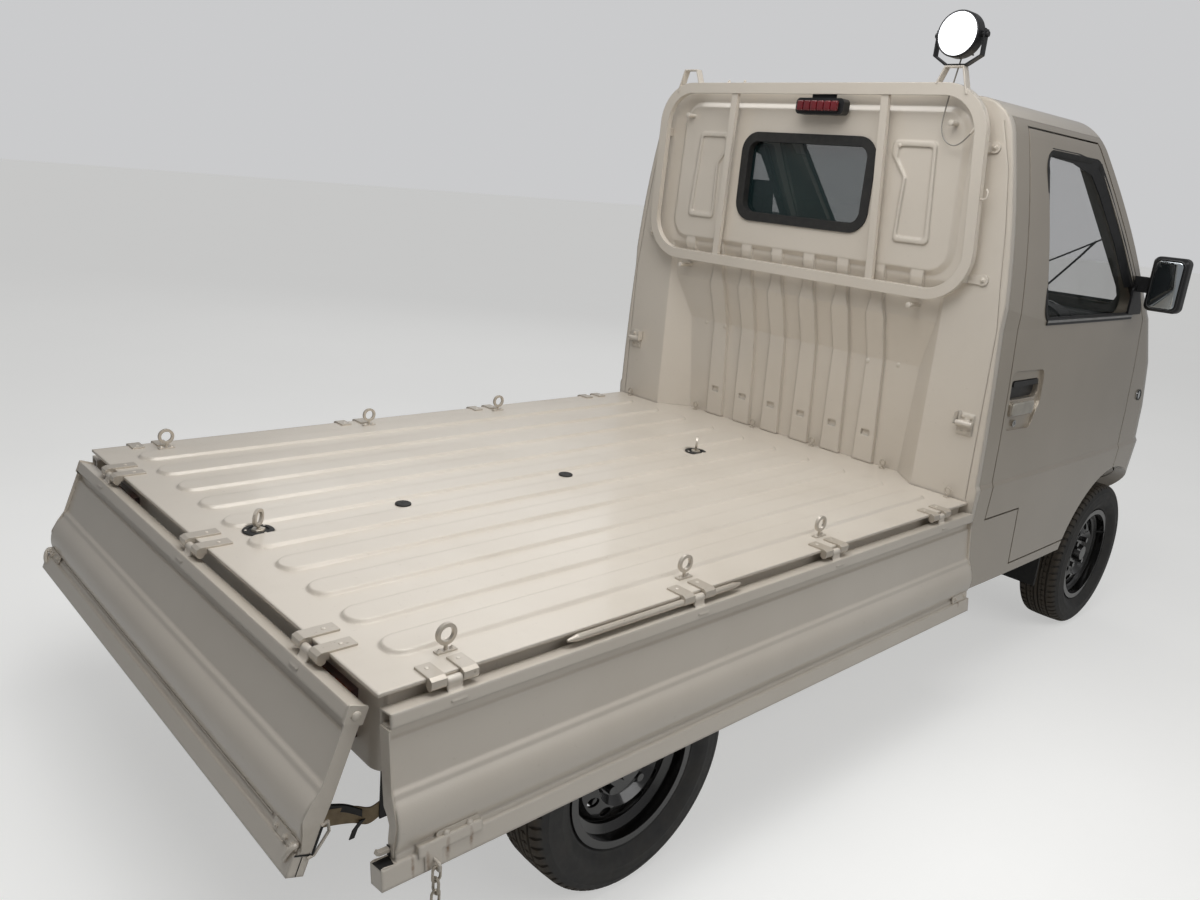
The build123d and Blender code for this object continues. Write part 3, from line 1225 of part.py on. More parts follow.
def exhaust():
    box = rod((1130, -520, 470), (1560, -520, 470), 85)
    front = bent_rod([
        (2059.7, -180, 400), (2000, -180, 400), (1930, -180, 272), (1820, -230, 262), (1690, -420, 262),
        (1620, -520, 380), (1610, -520, 470), (1550, -520, 470)], 28, 22)
    tail = bent_rod([(1140, -520, 470), (1070, -530, 460), (990, -590, 440), (950, -660, 425)], 40, 18)
    return box + front + tail


def guard_point(y, z):
    share = (z - GUARD_LOW_Z) / (GUARD_TOP_Z - GUARD_LOW_Z)
    return (GUARD_LOW_X + share * (GUARD_TOP_X - GUARD_LOW_X), y, z)


def guard_slab(route, half_depth):
    """Flat piece lying in the guard's leaning plane."""
    lean = math.atan((GUARD_LOW_X - GUARD_TOP_X) / (GUARD_TOP_Z - GUARD_LOW_Z))
    way = Vector(math.cos(lean), 0, math.sin(lean))
    foot = face_of(route, lambda y, z: Vector(*guard_point(y, z)) - way * half_depth)
    return Solid.extrude(foot, way * (2 * half_depth))


def guard_loop(inset):
    low = GUARD_LOW_HALF - inset
    high = GUARD_TOP_HALF - inset
    points = [
        (-low, GUARD_LOW_Z + inset), (low, GUARD_LOW_Z + inset),
        (high, GUARD_TOP_Z - inset), (-high, GUARD_TOP_Z - inset)]
    return rounded(points, GUARD_CORNER_R - inset)


def guard_horn(side):
    """Folded strip standing on the top tube; its outer leg reaches further down the corner."""
    middle = side * HORN_Y
    top = HORN_TOP_HALF
    wide = HORN_HALF
    strip = HORN_STRIP
    x = guard_point(0, GUARD_TOP_Z)[0]
    foot_in = GUARD_TOP_Z + GUARD_TUBE_HALF - 4
    foot_out = foot_in - 26
    route = [
        (middle - side * wide, foot_in), (middle - side * top, HORN_TOP_Z), (middle + side * top, HORN_TOP_Z),
        (middle + side * (wide + 4), foot_out), (middle + side * (wide - 1), foot_out),
        (middle + side * (top - 3), HORN_TOP_Z - strip), (middle - side * (top - 3), HORN_TOP_Z - strip),
        (middle - side * (wide - 5), foot_in)]
    return prism_x(route, x - HORN_WIDTH_HALF, x + HORN_WIDTH_HALF)


def guard_bracket(side, z, web_y, foot_y):
    """Web and round foot that carry the guard on the back wall."""
    wall_x = CAB_REAR_X - (z - BED_Z) * math.tan(math.radians(CAB_LEAN)) - 0.6
    x = guard_point(0, z)[0]
    web = block(x, wall_x, side * (web_y - 5), side * web_y, z - 13, z + 13)
    low_y = min(web_y - 5, foot_y - 13)
    foot = block(wall_x - 4, wall_x, side * low_y, side * foot_y, z - 13, z + 13)
    pad = rod((wall_x - 4, side * foot_y, z), (wall_x, side * foot_y, z), 15)
    return web + (foot + pad)


def guard_frame():
    whole = guard_slab(guard_loop(-GUARD_TUBE_HALF), GUARD_DEPTH_HALF)
    whole = whole - guard_slab(guard_loop(GUARD_TUBE_HALF), GUARD_DEPTH_HALF * 2)
    half = GUARD_BAR_HALF
    for side in (-1, 1):
        low = side * GUARD_BAR_LOW_Y
        high = side * GUARD_BAR_TOP_Y
        route = [
            (low - half, GUARD_LOW_Z), (low + half, GUARD_LOW_Z),
            (high + half, GUARD_TOP_Z), (high - half, GUARD_TOP_Z)]
        whole = whole + guard_slab(route, GUARD_BAR_DEPTH_HALF) + guard_horn(side)
        for z, web_y, foot_y in GUARD_BRACKETS:
            whole = whole + guard_bracket(side, z, web_y, foot_y)
    end = Vector(*CABLE_POINTS[-1])
    way = (end - Vector(*CABLE_POINTS[-2])).normalized()
    return whole + rod(tuple(end), tuple(end + way * CABLE_CLIP_LENGTH), CABLE_CLIP_R)


def guard_lamps():
    """Ribbed stop lamp hung behind the top tube, and the round work lamp on its stirrup."""
    x = guard_point(0, GUARD_TOP_Z)[0]
    low_y, high_y = STOP_LAMP_Y
    low_z, high_z = STOP_LAMP_Z
    behind = x + GUARD_DEPTH_HALF + 1
    stop = prism_x(rounded([(low_y, low_z), (high_y, low_z), (high_y, high_z), (low_y, high_z)], 14), x - 8, x + 24)
    raised = [
        (low_y + 12, low_z + 7), (high_y - 12, low_z + 7), (high_y - 12, high_z - 7), (low_y + 12, high_z - 7)]
    stop = stop + prism_x(rounded(raised, 10), x - 16, x - 7)
    hanger = block(behind, behind + 3, low_y + 42, high_y - 42, high_z - 12, GUARD_TOP_Z + 4)
    stop = stop + (hanger + block(x + 10, behind + 3, low_y + 42, high_y - 42, high_z - 12, high_z - 2))
    middle = (x, -HORN_Y, WORK_LAMP_Z)
    bowl = rod((x - 22, *middle[1:]), (x + 10, *middle[1:]), WORK_LAMP_R)
    bowl = bowl + rod((x + 8, *middle[1:]), (x + 30, *middle[1:]), WORK_LAMP_R - 14)
    reach = WORK_LAMP_R + 10
    foot_z = HORN_TOP_Z + SEAT_PLAY
    stirrup = prism_x([
        (-HORN_Y - reach, WORK_LAMP_Z + 12), (-HORN_Y - reach, foot_z + 24), (-HORN_Y - 30, foot_z),
        (-HORN_Y + 30, foot_z), (-HORN_Y + reach, foot_z + 24), (-HORN_Y + reach, WORK_LAMP_Z + 12),
        (-HORN_Y + reach - 4, WORK_LAMP_Z + 12), (-HORN_Y + reach - 4, foot_z + 26), (-HORN_Y + 28, foot_z + 4),
        (-HORN_Y - 28, foot_z + 4), (-HORN_Y + 4 - reach, foot_z + 26), (-HORN_Y + 4 - reach, WORK_LAMP_Z + 12)],
        x - 10, x + 10)
    axle = rod((x, -HORN_Y - reach - 6, WORK_LAMP_Z), (x, -HORN_Y + reach + 6, WORK_LAMP_Z), 7)
    start = Vector(*CABLE_POINTS[0])
    way = (Vector(*CABLE_POINTS[1]) - start).normalized()
    gland = rod(tuple(start), tuple(start - way * CABLE_GLAND_LENGTH), CABLE_GLAND_R)
    return group(stop, bowl + stirrup + axle + gland)


def lamp_cable():
    """Cable from the work lamp down behind the top tube, in a loop to the side tube."""
    runs = [Vector(*point) for point in CABLE_POINTS]
    bends = []
    for before, here, after in zip(runs, runs[1:], runs[2:]):
        half_turn = math.radians((here - before).get_angle(after - here) / 2)
        shorter = min((here - before).length, (after - here).length)
        bends.append(0.45 * shorter / math.tan(half_turn))
    return tube_along(runs, bends, CABLE_R)


def tube_along(points, bends, radius):
    """Round tube through straight runs joined by tangent arcs."""
    edges = []
    start = points[0]
    for number, bend in enumerate(bends):
        here = points[number + 1]
        back = (points[number] - here).normalized()
        ahead = (points[number + 2] - here).normalized()
        half = math.radians(back.get_angle(ahead) / 2)
        reach = bend / math.tan(half)
        middle = (back + ahead).normalized()
        crown = here + middle * (bend / math.sin(half) - bend)
        edges.append(Edge.make_line(start, here + back * reach))
        edges.append(Edge.make_three_point_arc(here + back * reach, crown, here + ahead * reach))
        start = here + ahead * reach
    edges.append(Edge.make_line(start, points[-1]))
    path = Wire(edges)
    section = Plane(origin=path @ 0, z_dir=path % 0) * Circle(radius)
    return sweep(section, path=path)


def tail_lamps():
    lamp = block(REAR_SILL_INSET - 14, REAR_SILL_INSET, 420, 620, 520, 610)
    return group(lamp, other_side(lamp))


def mirror(side):
    """Rounded housing on a short arm."""
    body = block(2802, 2868, side * 742, side * 850, 1185, 1362)
    body = fillet(body.edges(), 20)
    arm = block(2815, 2855, side * 680, side * 750, 1240, 1290)
    return body + (arm - upper_body(-SEAT_PLAY))


def mud_guard_pair():
    flap = block(2600, 2612, 430, 700, 290, 385) + block(2600, 2612, 560, 700, 215, 385)
    flap = flap & lower_body(CAB_WALL + SEAT_PLAY, 200.0)
    return group(flap, other_side(flap))


def build_all():
    parts = {}
    parts.update(cab_panels())
    parts["cab_back"] = cab_back()
    parts["cab_glass"] = cab_glass()
    parts["black_trim"] = black_trim()
    parts["bed_floor"] = bed_floor()
    parts["bed_fittings"] = bed_fittings()
    parts["ladder_frame"] = ladder_frame()
    parts["cab_floor"] = cab_floor()
    parts["seats"] = seats()
    parts["dashboard"] = dashboard()
    parts["engine"] = engine()
    parts["fuel_tank"] = fuel_tank()
    parts["exhaust"] = exhaust()
    parts["leaf_springs"] = leaf_springs()
    parts["front_suspension"] = front_suspension()
    parts["guard_frame"] = guard_frame()
    parts["guard_lamps"] = guard_lamps()
    parts["lamp_cable"] = lamp_cable()
    parts["front_lamps"] = front_lamps()
    parts["tail_lamps"] = tail_lamps()
    parts["mud_guards"] = mud_guard_pair()
    parts["gate_left"] = gate_side(1)
    parts["gate_right"] = gate_side(-1)
    parts["tailgate"] = tailgate()
    parts["gate_chain"] = gate_chain()
    parts["steering_wheel"] = steering_wheel()
    axle = rear_axle()
    for side in (-1, 1):
        axle = axle + brake_unit(REAR_AXLE_X, side * TRACK_HALF, side, BRAKE_DRUM_R)
    parts["rear_axle"] = axle
    pane_out = upper_body(GLASS_INSET)
    pane_in = upper_body(GLASS_INSET + GLASS_THICK)
    ring = pane_out - pane_in
    for name, side in SIDES:
        parts[f"knuckle_{name}"] = knuckle(side)
        parts[f"door_{name}_glass"] = ring & prism_y(window_route(SEAT_PLAY), 0, side * 1000)
        parts[f"door_{name}_mirror"] = mirror(side)
        for end, x in (("front", FRONT_AXLE_X), ("rear", REAR_AXLE_X)):
            parts[f"wheel_{end}_{name}"] = rim(x, side * TRACK_HALF, side)
            parts[f"tyre_{end}_{name}"] = tyre(x, side * TRACK_HALF, side)
    return parts


def main():
    os.makedirs("parts", exist_ok=True)
    parts = build_all()
    whole = Compound(children=[solid for shape in parts.values() for solid in shape.solids()])
    box = whole.bounding_box()
    shift = -(box.min.X + box.max.X) / 2
    for name, shape in parts.items():
        solids = [solid.translate((shift, 0, 0)) for solid in shape.solids()]
        export_step(Compound(children=solids) if len(solids) > 1 else solids[0], f"parts/{name}.step")
    print("shift", round(shift, 3), "x", box.min.X, box.max.X, "y", box.min.Y, box.max.Y, "z", box.min.Z, box.max.Z)


if __name__ == "__main__":
    main()
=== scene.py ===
import json
import math

import bmesh
import bpy
from mathutils import Matrix, Vector
from mathutils.bvhtree import BVHTree


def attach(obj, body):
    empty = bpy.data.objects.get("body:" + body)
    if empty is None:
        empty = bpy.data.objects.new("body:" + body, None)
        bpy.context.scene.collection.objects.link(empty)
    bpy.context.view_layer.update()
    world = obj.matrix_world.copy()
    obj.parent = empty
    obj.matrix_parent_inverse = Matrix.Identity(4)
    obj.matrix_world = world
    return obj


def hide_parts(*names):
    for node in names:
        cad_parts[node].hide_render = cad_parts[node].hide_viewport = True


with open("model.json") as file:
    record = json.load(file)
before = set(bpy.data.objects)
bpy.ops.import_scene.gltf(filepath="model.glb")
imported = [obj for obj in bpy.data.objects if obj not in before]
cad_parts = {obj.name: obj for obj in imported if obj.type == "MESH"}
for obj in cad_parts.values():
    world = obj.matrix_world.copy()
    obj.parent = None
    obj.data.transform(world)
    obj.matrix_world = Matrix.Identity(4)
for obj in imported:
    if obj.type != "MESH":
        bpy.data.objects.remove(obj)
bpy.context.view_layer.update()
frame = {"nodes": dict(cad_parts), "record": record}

# Millimetres from the bed's rear edge, as in the part's source, to the frame's metres
REAR_EDGE = 1617.3

# Camera at the photograph's place, in the truck's frame
CAMERA_PLACE = (-2.3041, -1.8584, 1.4420)
CAMERA_HEADING = 0.80253
CAMERA_DOWN = 0.27689
CAMERA_ROLL = 0.09718
CAMERA_LENS = 28.8
SENSOR_WIDTH = 36.0

# Lamps: name, place, target, both sides and power
LIGHTS = (
    ("near_top", (-1.3, -0.8, 2.6), (-1.1, -0.3, 0.65), (2.4, 0.9), 27),
    ("mid_top", (-0.4, 0.2, 2.8), (-0.2, 0, 0.9), (2.6, 1.0), 23),
    ("far_left", (3.5, 4.5, 3.6), (-0.5, 0, 0.6), (6.0, 1.6), 30),
    ("right_high", (0.3, -4.2, 3.4), (0, 0, 0.5), (5.0, 1.2), 42))
WORLD_LIGHT = 0.15
# Levels at which the background and the floor are seen, and the share of them that reflections show
BACKDROP_LIGHT = 0.605
FLOOR_GLOW = 0.47
GLOSSY_SHARE = 0.35
FLOOR_REACH = 40.0

# Work lamp's cable: the points of its route in the part's source
CABLE_POINTS = (
    (1841, -470, 1832), (1843, -462, 1788), (1843, -454, 1740), (1843, -448, 1692),
    (1841, -447, 1648), (1840, -471, 1612), (1837, -512, 1607), (1834, -539, 1641))
CABLE_DIAMETER = 0.004

# Sizes shared with the part's source, in millimetres
BED_Z = 651
CAB_LEAN = math.radians(0.9)
GATE_PIN = (721, 640)
GATE_LEAN = math.radians(8)
TAIL_PIN_X = -14
TAIL_LEAN = math.radians(20)
TRACK_HALF = 652
TYRE_R = 268
BEAD_R = 160
REAR_AXLE_X = 615
FRONT_AXLE_X = 2965
GUARD_X = 1822
HEAD_LAMP = ((335, 742), (640, 760), (625, 900), (335, 885))
TURN_LAMP = ((470, 596), (630, 596), (630, 652), (470, 652))
# Places across and up
WORK_LAMP = (-470, 1884)
STOP_LAMP_ENDS = (-131, 14)
WHEELS = {
    "rear_left": (REAR_AXLE_X, 1), "rear_right": (REAR_AXLE_X, -1),
    "front_left": (FRONT_AXLE_X, 1), "front_right": (FRONT_AXLE_X, -1)}

SIDES = (("left", 1), ("right", -1))

# Where rays towards the nose and the doors start
AHEAD_X = 3600
BESIDE_Y = 900

UP = Vector((0, 0, 1))
FORWARD = Vector((1, 0, 0))
REARWARD = Vector((-1, 0, 0))
TAIL_NORMAL = Vector((-math.cos(TAIL_LEAN), 0, math.sin(TAIL_LEAN)))
WALL_NORMAL = Vector((-math.cos(CAB_LEAN), 0, -math.sin(CAB_LEAN)))


def at(x, y, z):
    return Vector(((x - REAR_EDGE) / 1000, y / 1000, z / 1000))


def mm(x, y, z):
    """Step given in millimetres."""
    return Vector((x / 1000, y / 1000, z / 1000))


def side_gate(side, x, a, b):
    """Place on a hanging side gate: a down from its pin, b out of its face."""
    y = side * (GATE_PIN[0] + a * math.sin(GATE_LEAN) + b * math.cos(GATE_LEAN))
    return at(x, y, GATE_PIN[1] - a * math.cos(GATE_LEAN) + b * math.sin(GATE_LEAN))


def gate_normal(side):
    return Vector((0, side * math.cos(GATE_LEAN), math.sin(GATE_LEAN)))


def tail_gate(y, a, b):
    """Place on the hanging tailgate: a down from its pin, b out of its face."""
    x = TAIL_PIN_X - a * math.sin(TAIL_LEAN) - b * math.cos(TAIL_LEAN)
    return at(x, y, GATE_PIN[1] - a * math.cos(TAIL_LEAN) + b * math.sin(TAIL_LEAN))


def places(side, *points):
    """Places at the left side, or mirrored to the right one."""
    return [at(x, side * y, z) for x, y, z in points]


def before_nose(point):
    """Start of a ray back to the nose at a point across and up."""
    return at(AHEAD_X, point[0], point[1])


# Shapes

def meshes(count):
    return [bmesh.new() for _ in range(count)]


def across(normal):
    """Two directions square to a normal."""
    other = UP if abs(normal.z) < 0.9 else FORWARD
    first = normal.cross(other).normalized()
    return first, normal.cross(first).normalized()


def add_rings(bm, rings, closed=False):
    """Skin over rings of points; closed joins the last ring to the first, otherwise the ends are capped."""
    rows = [[bm.verts.new(point) for point in ring] for ring in rings]
    pairs = list(zip(rows, rows[1:]))
    if closed:
        pairs.append((rows[-1], rows[0]))
    for low, high in pairs:
        for number in range(len(low)):
            after = (number + 1) % len(low)
            bm.faces.new((low[number], low[after], high[after], high[number]))
    if not closed:
        bm.faces.new(list(reversed(rows[0])))
        bm.faces.new(rows[-1])


def spokes(first, second, count, turn=0.0):
    """Directions around a circle that starts at first and goes on to second."""
    angles = [turn + 2 * math.pi * number / count for number in range(count)]
    return [first * math.cos(angle) + second * math.sin(angle) for angle in angles]


def add_turned(bm, centre, normal, profile, steps=24, turn=0.0):
    """Turned form about a normal; profile gives radius and height in millimetres."""
    normal = normal.normalized()
    ways = spokes(*across(normal), steps, turn)
    add_rings(bm, [
        [centre + way * (radius / 1000) + normal * (height / 1000) for way in ways]
        for radius, height in profile])


def add_bar(bm, outline, reach):
    """Bar with an outline of points, carried along reach."""
    add_rings(bm, [outline, [point + reach for point in outline]])


def add_bolt(bm, place, normal, radius=5.0, height=4.5, turn=0.3):
    """Flanged hexagon bolt head with its thread end."""
    washer = radius * 1.55
    add_turned(bm, place, normal, [(washer, -0.4), (washer, 0.8), (washer - 0.6, 1.2), (radius, 1.3)], 20)
    add_turned(bm, place, normal, [
        (radius * 1.08, 1.0), (radius * 1.08, height - 0.8), (radius * 0.9, height),
        (radius * 0.5, height)], 6, turn)
    add_turned(bm, place, normal, [
        (radius * 0.48, height - 0.5), (radius * 0.48, height + 1.5), (radius * 0.3, height + 2.0)], 14)


def add_rivet(bm, place, normal, radius=6.0, height=3.0):
    profile = [(radius, -0.4), (radius, height * 0.2)]
    for number in range(1, 5):
        angle = math.radians(20 * number)
        profile.append((radius * math.cos(angle), height * (0.2 + 0.8 * math.sin(angle))))
    add_turned(bm, place, normal, profile, 18)


def smooth_path(points, cuts=6):
    """Catmull-Rom line through the points."""
    line = []
    for number in range(len(points) - 1):
        before = points[max(number - 1, 0)]
        start = points[number]
        end = points[number + 1]
        after = points[min(number + 2, len(points) - 1)]
        for cut in range(cuts):
            share = cut / cuts
            line.append(0.5 * (
                2 * start + (end - before) * share
                + (2 * before - 5 * start + 4 * end - after) * share ** 2
                + (3 * start - before - 3 * end + after) * share ** 3))
    line.append(points[-1])
    return line


def direction(line, number):
    """Direction of a line of points at one of them."""
    return (line[min(number + 1, len(line) - 1)] - line[max(number - 1, 0)]).normalized()


def add_wire(bm, points, radius, sides=10, smooth=True):
    """Round wire along a line of points, radius in millimetres."""
    line = smooth_path(points) if smooth else points
    normal, _ = across((line[1] - line[0]).normalized())
    rings = []
    for number, point in enumerate(line):
        ahead = direction(line, number)
        normal = (normal - ahead * normal.dot(ahead)).normalized()
        ways = spokes(normal, ahead.cross(normal), sides)
        rings.append([point + way * (radius / 1000) for way in ways])
    add_rings(bm, rings)


def add_strip(bm, line, wide, thin):
    """Flat strap along a line; wide is its half width as a vector, thin its thickness in millimetres."""
    rings = []
    for number, point in enumerate(line):
        lift = wide.cross(direction(line, number)).normalized() * (thin / 2000)
        rings.append([point - wide - lift, point + wide - lift, point + wide + lift, point - wide + lift])
    add_rings(bm, rings)


def rounded(points, radius, cuts=6):
    """Outline of pairs with each corner rounded."""
    route = []
    count = len(points)
    for number in range(count):
        here = Vector(points[number])
        back = Vector(points[number - 1]) - here
        ahead = Vector(points[(number + 1) % count]) - here
        half = back.angle(ahead) / 2
        reach = min(radius / math.tan(half), back.length * 0.45, ahead.length * 0.45)
        bend = reach * math.tan(half)
        back.normalize()
        ahead.normalize()
        centre = here + (back + ahead).normalized() * (bend / math.sin(half))
        start = here + back * reach - centre
        end = here + ahead * reach - centre
        for cut in range(cuts + 1):
            spoke = start.lerp(end, cut / cuts)
            route.append(centre + spoke.normalized() * bend)
    return route


def panel(u0, v0, u1, v1, radius, cuts):
    """Rounded rectangle between two corners."""
    return rounded([(u0, v0), (u1, v0), (u1, v1), (u0, v1)], radius, cuts)


def add_stepped(bm, outline, centre, steps, place, upright=1.0):
    """Raised form over an outline, drawn towards its centre by a share at each depth.

    upright is how much more it draws in its height; place makes a point of two measures and a depth."""
    add_rings(bm, [
        [place(u + (centre[0] - u) * share, v + (centre[1] - v) * share * upright, depth)
         for u, v in outline] for depth, share in steps])


def grown(route, play):
    """Closed outline moved outwards by play along its own normals."""
    area = sum(a.x * b.y - b.x * a.y for a, b in zip(route, route[1:] + route[:1]))
    turn = 1 if area > 0 else -1
    moved = []
    for number, point in enumerate(route):
        ahead = route[(number + 1) % len(route)] - route[number - 1]
        normal = Vector((ahead.y, -ahead.x)).normalized() * turn
        moved.append(point + normal * play)
    return moved


TREES = {}


def surface(node):
    if node not in TREES:
        mesh = frame["nodes"][node].data
        points = [vertex.co.copy() for vertex in mesh.vertices]
        TREES[node] = BVHTree.FromPolygons(points, [tuple(face.vertices) for face in mesh.polygons])
    return TREES[node]


def facing(nodes, start, way):
    """Nearest point of the named nodes from start along a direction, with its normal."""
    hits = []
    for node in nodes:
        place, normal, _, distance = surface(node).ray_cast(start, way)
        if place is not None:
            hits.append((distance, place, normal))
    if not hits:
        return None, None
    _, place, normal = min(hits, key=lambda hit: hit[0])
    return place, normal if normal.dot(way) < 0 else -normal


def touch(nodes, start, way):
    return facing(nodes, start, way)[0]


def add_object(name, data):
    made = bpy.data.objects.new(name, data)
    bpy.context.scene.collection.objects.link(made)
    return made


def piece(name, bm, finish, body="chassis", edge=0.0, sharp=35.0):
    """Object of a mesh, riding on a body; edge rounds its edges by that many millimetres."""
    bmesh.ops.recalc_face_normals(bm, faces=bm.faces)
    for face in bm.faces:
        face.smooth = True
    for line in bm.edges:
        if len(line.link_faces) != 2 or line.calc_face_angle(0) > math.radians(sharp):
            line.smooth = False
    mesh = bpy.data.meshes.new(name)
    bm.to_mesh(mesh)
    bm.free()
    mesh.materials.append(MATERIALS[finish])
    made = add_object(name, mesh)
    if edge:
        bevel = made.modifiers.new("edges", "BEVEL")
        bevel.width = edge / 1000
        bevel.segments = 2
        bevel.limit_method = "ANGLE"
        bevel.harden_normals = False
    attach(made, body)
    return made


def loop_strip(name, nodes, route, start, way, section, finish, body="chassis"):
    """Closed strip around an outline; section gives growth of the outline and depth in millimetres.

    start and way say where to look for the surface that carries each point."""
    spots = [touch(nodes, start(point), way) for point in grown(route, 12)]
    rows = []
    for growth, depth in section:
        row = []
        for spot, point in zip(spots, grown(route, growth)):
            place = start(point)
            row.append(place + way * ((spot - place).dot(way) - depth / 1000))
        rows.append(row)
    bm = bmesh.new()
    add_rings(bm, rows, closed=True)
    piece(name, bm, finish, body, 0.3, 30)


# Node helpers

def new_material(name):
    """Material with an empty node tree; returns it, the tree and the shader."""
    material = bpy.data.materials.new(name)
    material.use_nodes = True
    tree = material.node_tree
    tree.nodes.clear()
    output = tree.nodes.new("ShaderNodeOutputMaterial")
    shader = tree.nodes.new("ShaderNodeBsdfPrincipled")
    tree.links.new(shader.outputs["BSDF"], output.inputs["Surface"])
    return material, tree, shader


def colour(red, green, blue):
    """Screen colour from 0 to 255 as the linear colour that shaders take."""
    parts = []
    for value in (red, green, blue):
        share = value / 255
        parts.append(share / 12.92 if share <= 0.04045 else ((share + 0.055) / 1.055) ** 2.4)
    return (*parts, 1.0)


def feed(tree, node, values):
    """Gives each named or numbered input of a node a constant, or links it to a socket."""
    for key, value in values.items():
        if isinstance(value, bpy.types.NodeSocket):
            tree.links.new(value, node.inputs[key])
        else:
            node.inputs[key].default_value = value


def add_node(tree, kind, values):
    node = tree.nodes.new(kind)
    feed(tree, node, values)
    return node


def coordinates(tree):
    return tree.nodes.new("ShaderNodeTexCoord").outputs["Object"]


def split_place(tree):
    """The object's coordinates one by one."""
    return add_node(tree, "ShaderNodeSeparateXYZ", {0: coordinates(tree)}).outputs


def noise(tree, size, detail=4.0, roughness=0.6):
    """Noise of about the given grain size in metres."""
    node = add_node(tree, "ShaderNodeTexNoise", {
        "Scale": 1 / size, "Detail": detail, "Roughness": roughness, "Vector": coordinates(tree)})
    return node.outputs["Fac"]


def ramp(tree, source, low, high):
    node = add_node(tree, "ShaderNodeValToRGB", {"Fac": source})
    node.color_ramp.elements[0].position = low
    node.color_ramp.elements[1].position = high
    return node.outputs["Color"]


def mixed(tree, share, first, second):
    """Mix of two colours, each a colour or a socket; share is a number or a socket."""
    node = tree.nodes.new("ShaderNodeMix")
    node.data_type = "RGBA"
    feed(tree, node, {0: share, 6: first, 7: second})
    return node.outputs[2]


def two_tone(tree, size, main, second, detail=4.0, low=0.35, high=0.7):
    """Two close colours that change into each other over patches of a size in metres."""
    return mixed(tree, ramp(tree, noise(tree, size, detail), low, high), colour(*main), colour(*second))


def between(tree, source, low, high, top=1.0):
    """Carries a value from 0..top to low..high."""
    return add_node(tree, "ShaderNodeMapRange", {
        "Value": source, "From Max": top, "To Min": low, "To Max": high}).outputs["Result"]


def maths(tree, kind, first, second=0.0):
    node = add_node(tree, "ShaderNodeMath", {0: first, 1: second})
    node.operation = kind
    return node.outputs[0]


def vector_maths(tree, kind, source, second=(0, 0, 0)):
    node = add_node(tree, "ShaderNodeVectorMath", {0: source, 1: second})
    node.operation = kind
    return node.outputs


def near_spots(tree, spots):
    """Mask that is 1 at each place of a short list and fades out at its radius in metres."""
    total = 0.0
    source = coordinates(tree)
    for place, stretch, radius in spots:
        shift = vector_maths(tree, "SUBTRACT", source, place)[0]
        scaled = vector_maths(tree, "MULTIPLY", shift, stretch)[0]
        length = vector_maths(tree, "LENGTH", scaled)["Value"]
        total = maths(tree, "MAXIMUM", between(tree, length, 1, 0, radius), total)
    return total


def bump(tree, shader, height, strength, distance, edge=0.0):
    """Relief from a height; edge also softens the corners by that many metres."""
    node = add_node(tree, "ShaderNodeBump", {
        "Strength": strength, "Distance": distance, "Height": height})
    if edge:
        soft = add_node(tree, "ShaderNodeBevel", {"Radius": edge})
        soft.samples = 4
        feed(tree, node, {"Normal": soft.outputs["Normal"]})
    feed(tree, shader, {"Normal": node.outputs["Normal"]})


# Materials

# One body paint in two shades: the lighter pair, for the bed, gates, guard, back wall and bolts, is painted
# light; the darker pair, for the cab's front, sides and roof, is painted shade
BODY_PAINT_LIT = ((215, 207, 195), (208, 199, 186))
BODY_PAINT_SHADED = ((184, 174, 159), (174, 164, 149))
WORN_CREAM = ((206, 198, 186), (180, 170, 156))
DUST = (172, 161, 143)
STAIN = (128, 114, 94)
RUST = (138, 104, 72)

# Rust on the right gate: places, stretch in each direction and radius in metres
RUST_SPOTS = tuple(
    (tuple(side_gate(-1, x, a, b)), stretch, radius) for x, a, b, stretch, radius in (
        (100, 276, 20, (3, 1, 0.7), 0.026), (146, 276, 20, (3, 1, 0.7), 0.024),
        (60, 284, 20, (2.6, 1, 0.6), 0.022), (34, 280, 20, (3.4, 1, 0.5), 0.02),
        (1815, 262, 18, (2.0, 1, 0.8), 0.02)))


def paint(name, shades, metallic, dirt, rough, coat, dent=0.0, edge=0.003, spots=()):
    """Paint with haze, stains, dents, and rust where spots are given."""
    material, tree, shader = new_material(name)
    base = two_tone(tree, 0.7, *shades, 3.0)
    haze = ramp(tree, noise(tree, 0.16, 6.0, 0.65), 0.5, 0.85)
    base = mixed(tree, maths(tree, "MULTIPLY", haze, dirt), base, colour(*DUST))
    stains = ramp(tree, noise(tree, 0.012, 3.0, 0.5), 0.68, 0.76)
    base = mixed(tree, maths(tree, "MULTIPLY", stains, dirt * 0.8), base, colour(*STAIN))
    if spots:
        ragged = between(tree, noise(tree, 0.01, 5.0), 0.1, 1.5)
        patch = maths(tree, "MULTIPLY", near_spots(tree, spots), ragged)
        base = mixed(tree, ramp(tree, patch, 0.25, 1.1), base, colour(*RUST))
    feed(tree, shader, {
        "Base Color": base, "Roughness": between(tree, noise(tree, 0.05, 6.0), *rough),
        "Metallic": metallic, "Coat Weight": coat, "Coat Roughness": 0.1})
    relief = maths(tree, "MULTIPLY", noise(tree, 0.003, 2.0), 0.02)
    if dent:
        waves = maths(tree, "MULTIPLY", noise(tree, 0.22, 2.0, 0.4), dent)
        relief = maths(tree, "ADD", relief, waves)
    bump(tree, shader, relief, 1.0, 0.004, edge)
    return material


def plain(name, main, second, grain, rough, metallic=0.0, height=0.2, coat=0.0, edge=0.0):
    """Finish with two close colours, uneven gloss and a light grain."""
    material, tree, shader = new_material(name)
    feed(tree, shader, {
        "Base Color": two_tone(tree, grain * 12, main, second),
        "Roughness": between(tree, noise(tree, grain * 5, 6.0), *rough),
        "Metallic": metallic, "Coat Weight": coat})
    bump(tree, shader, noise(tree, grain), height, grain * 0.2, edge)
    return material


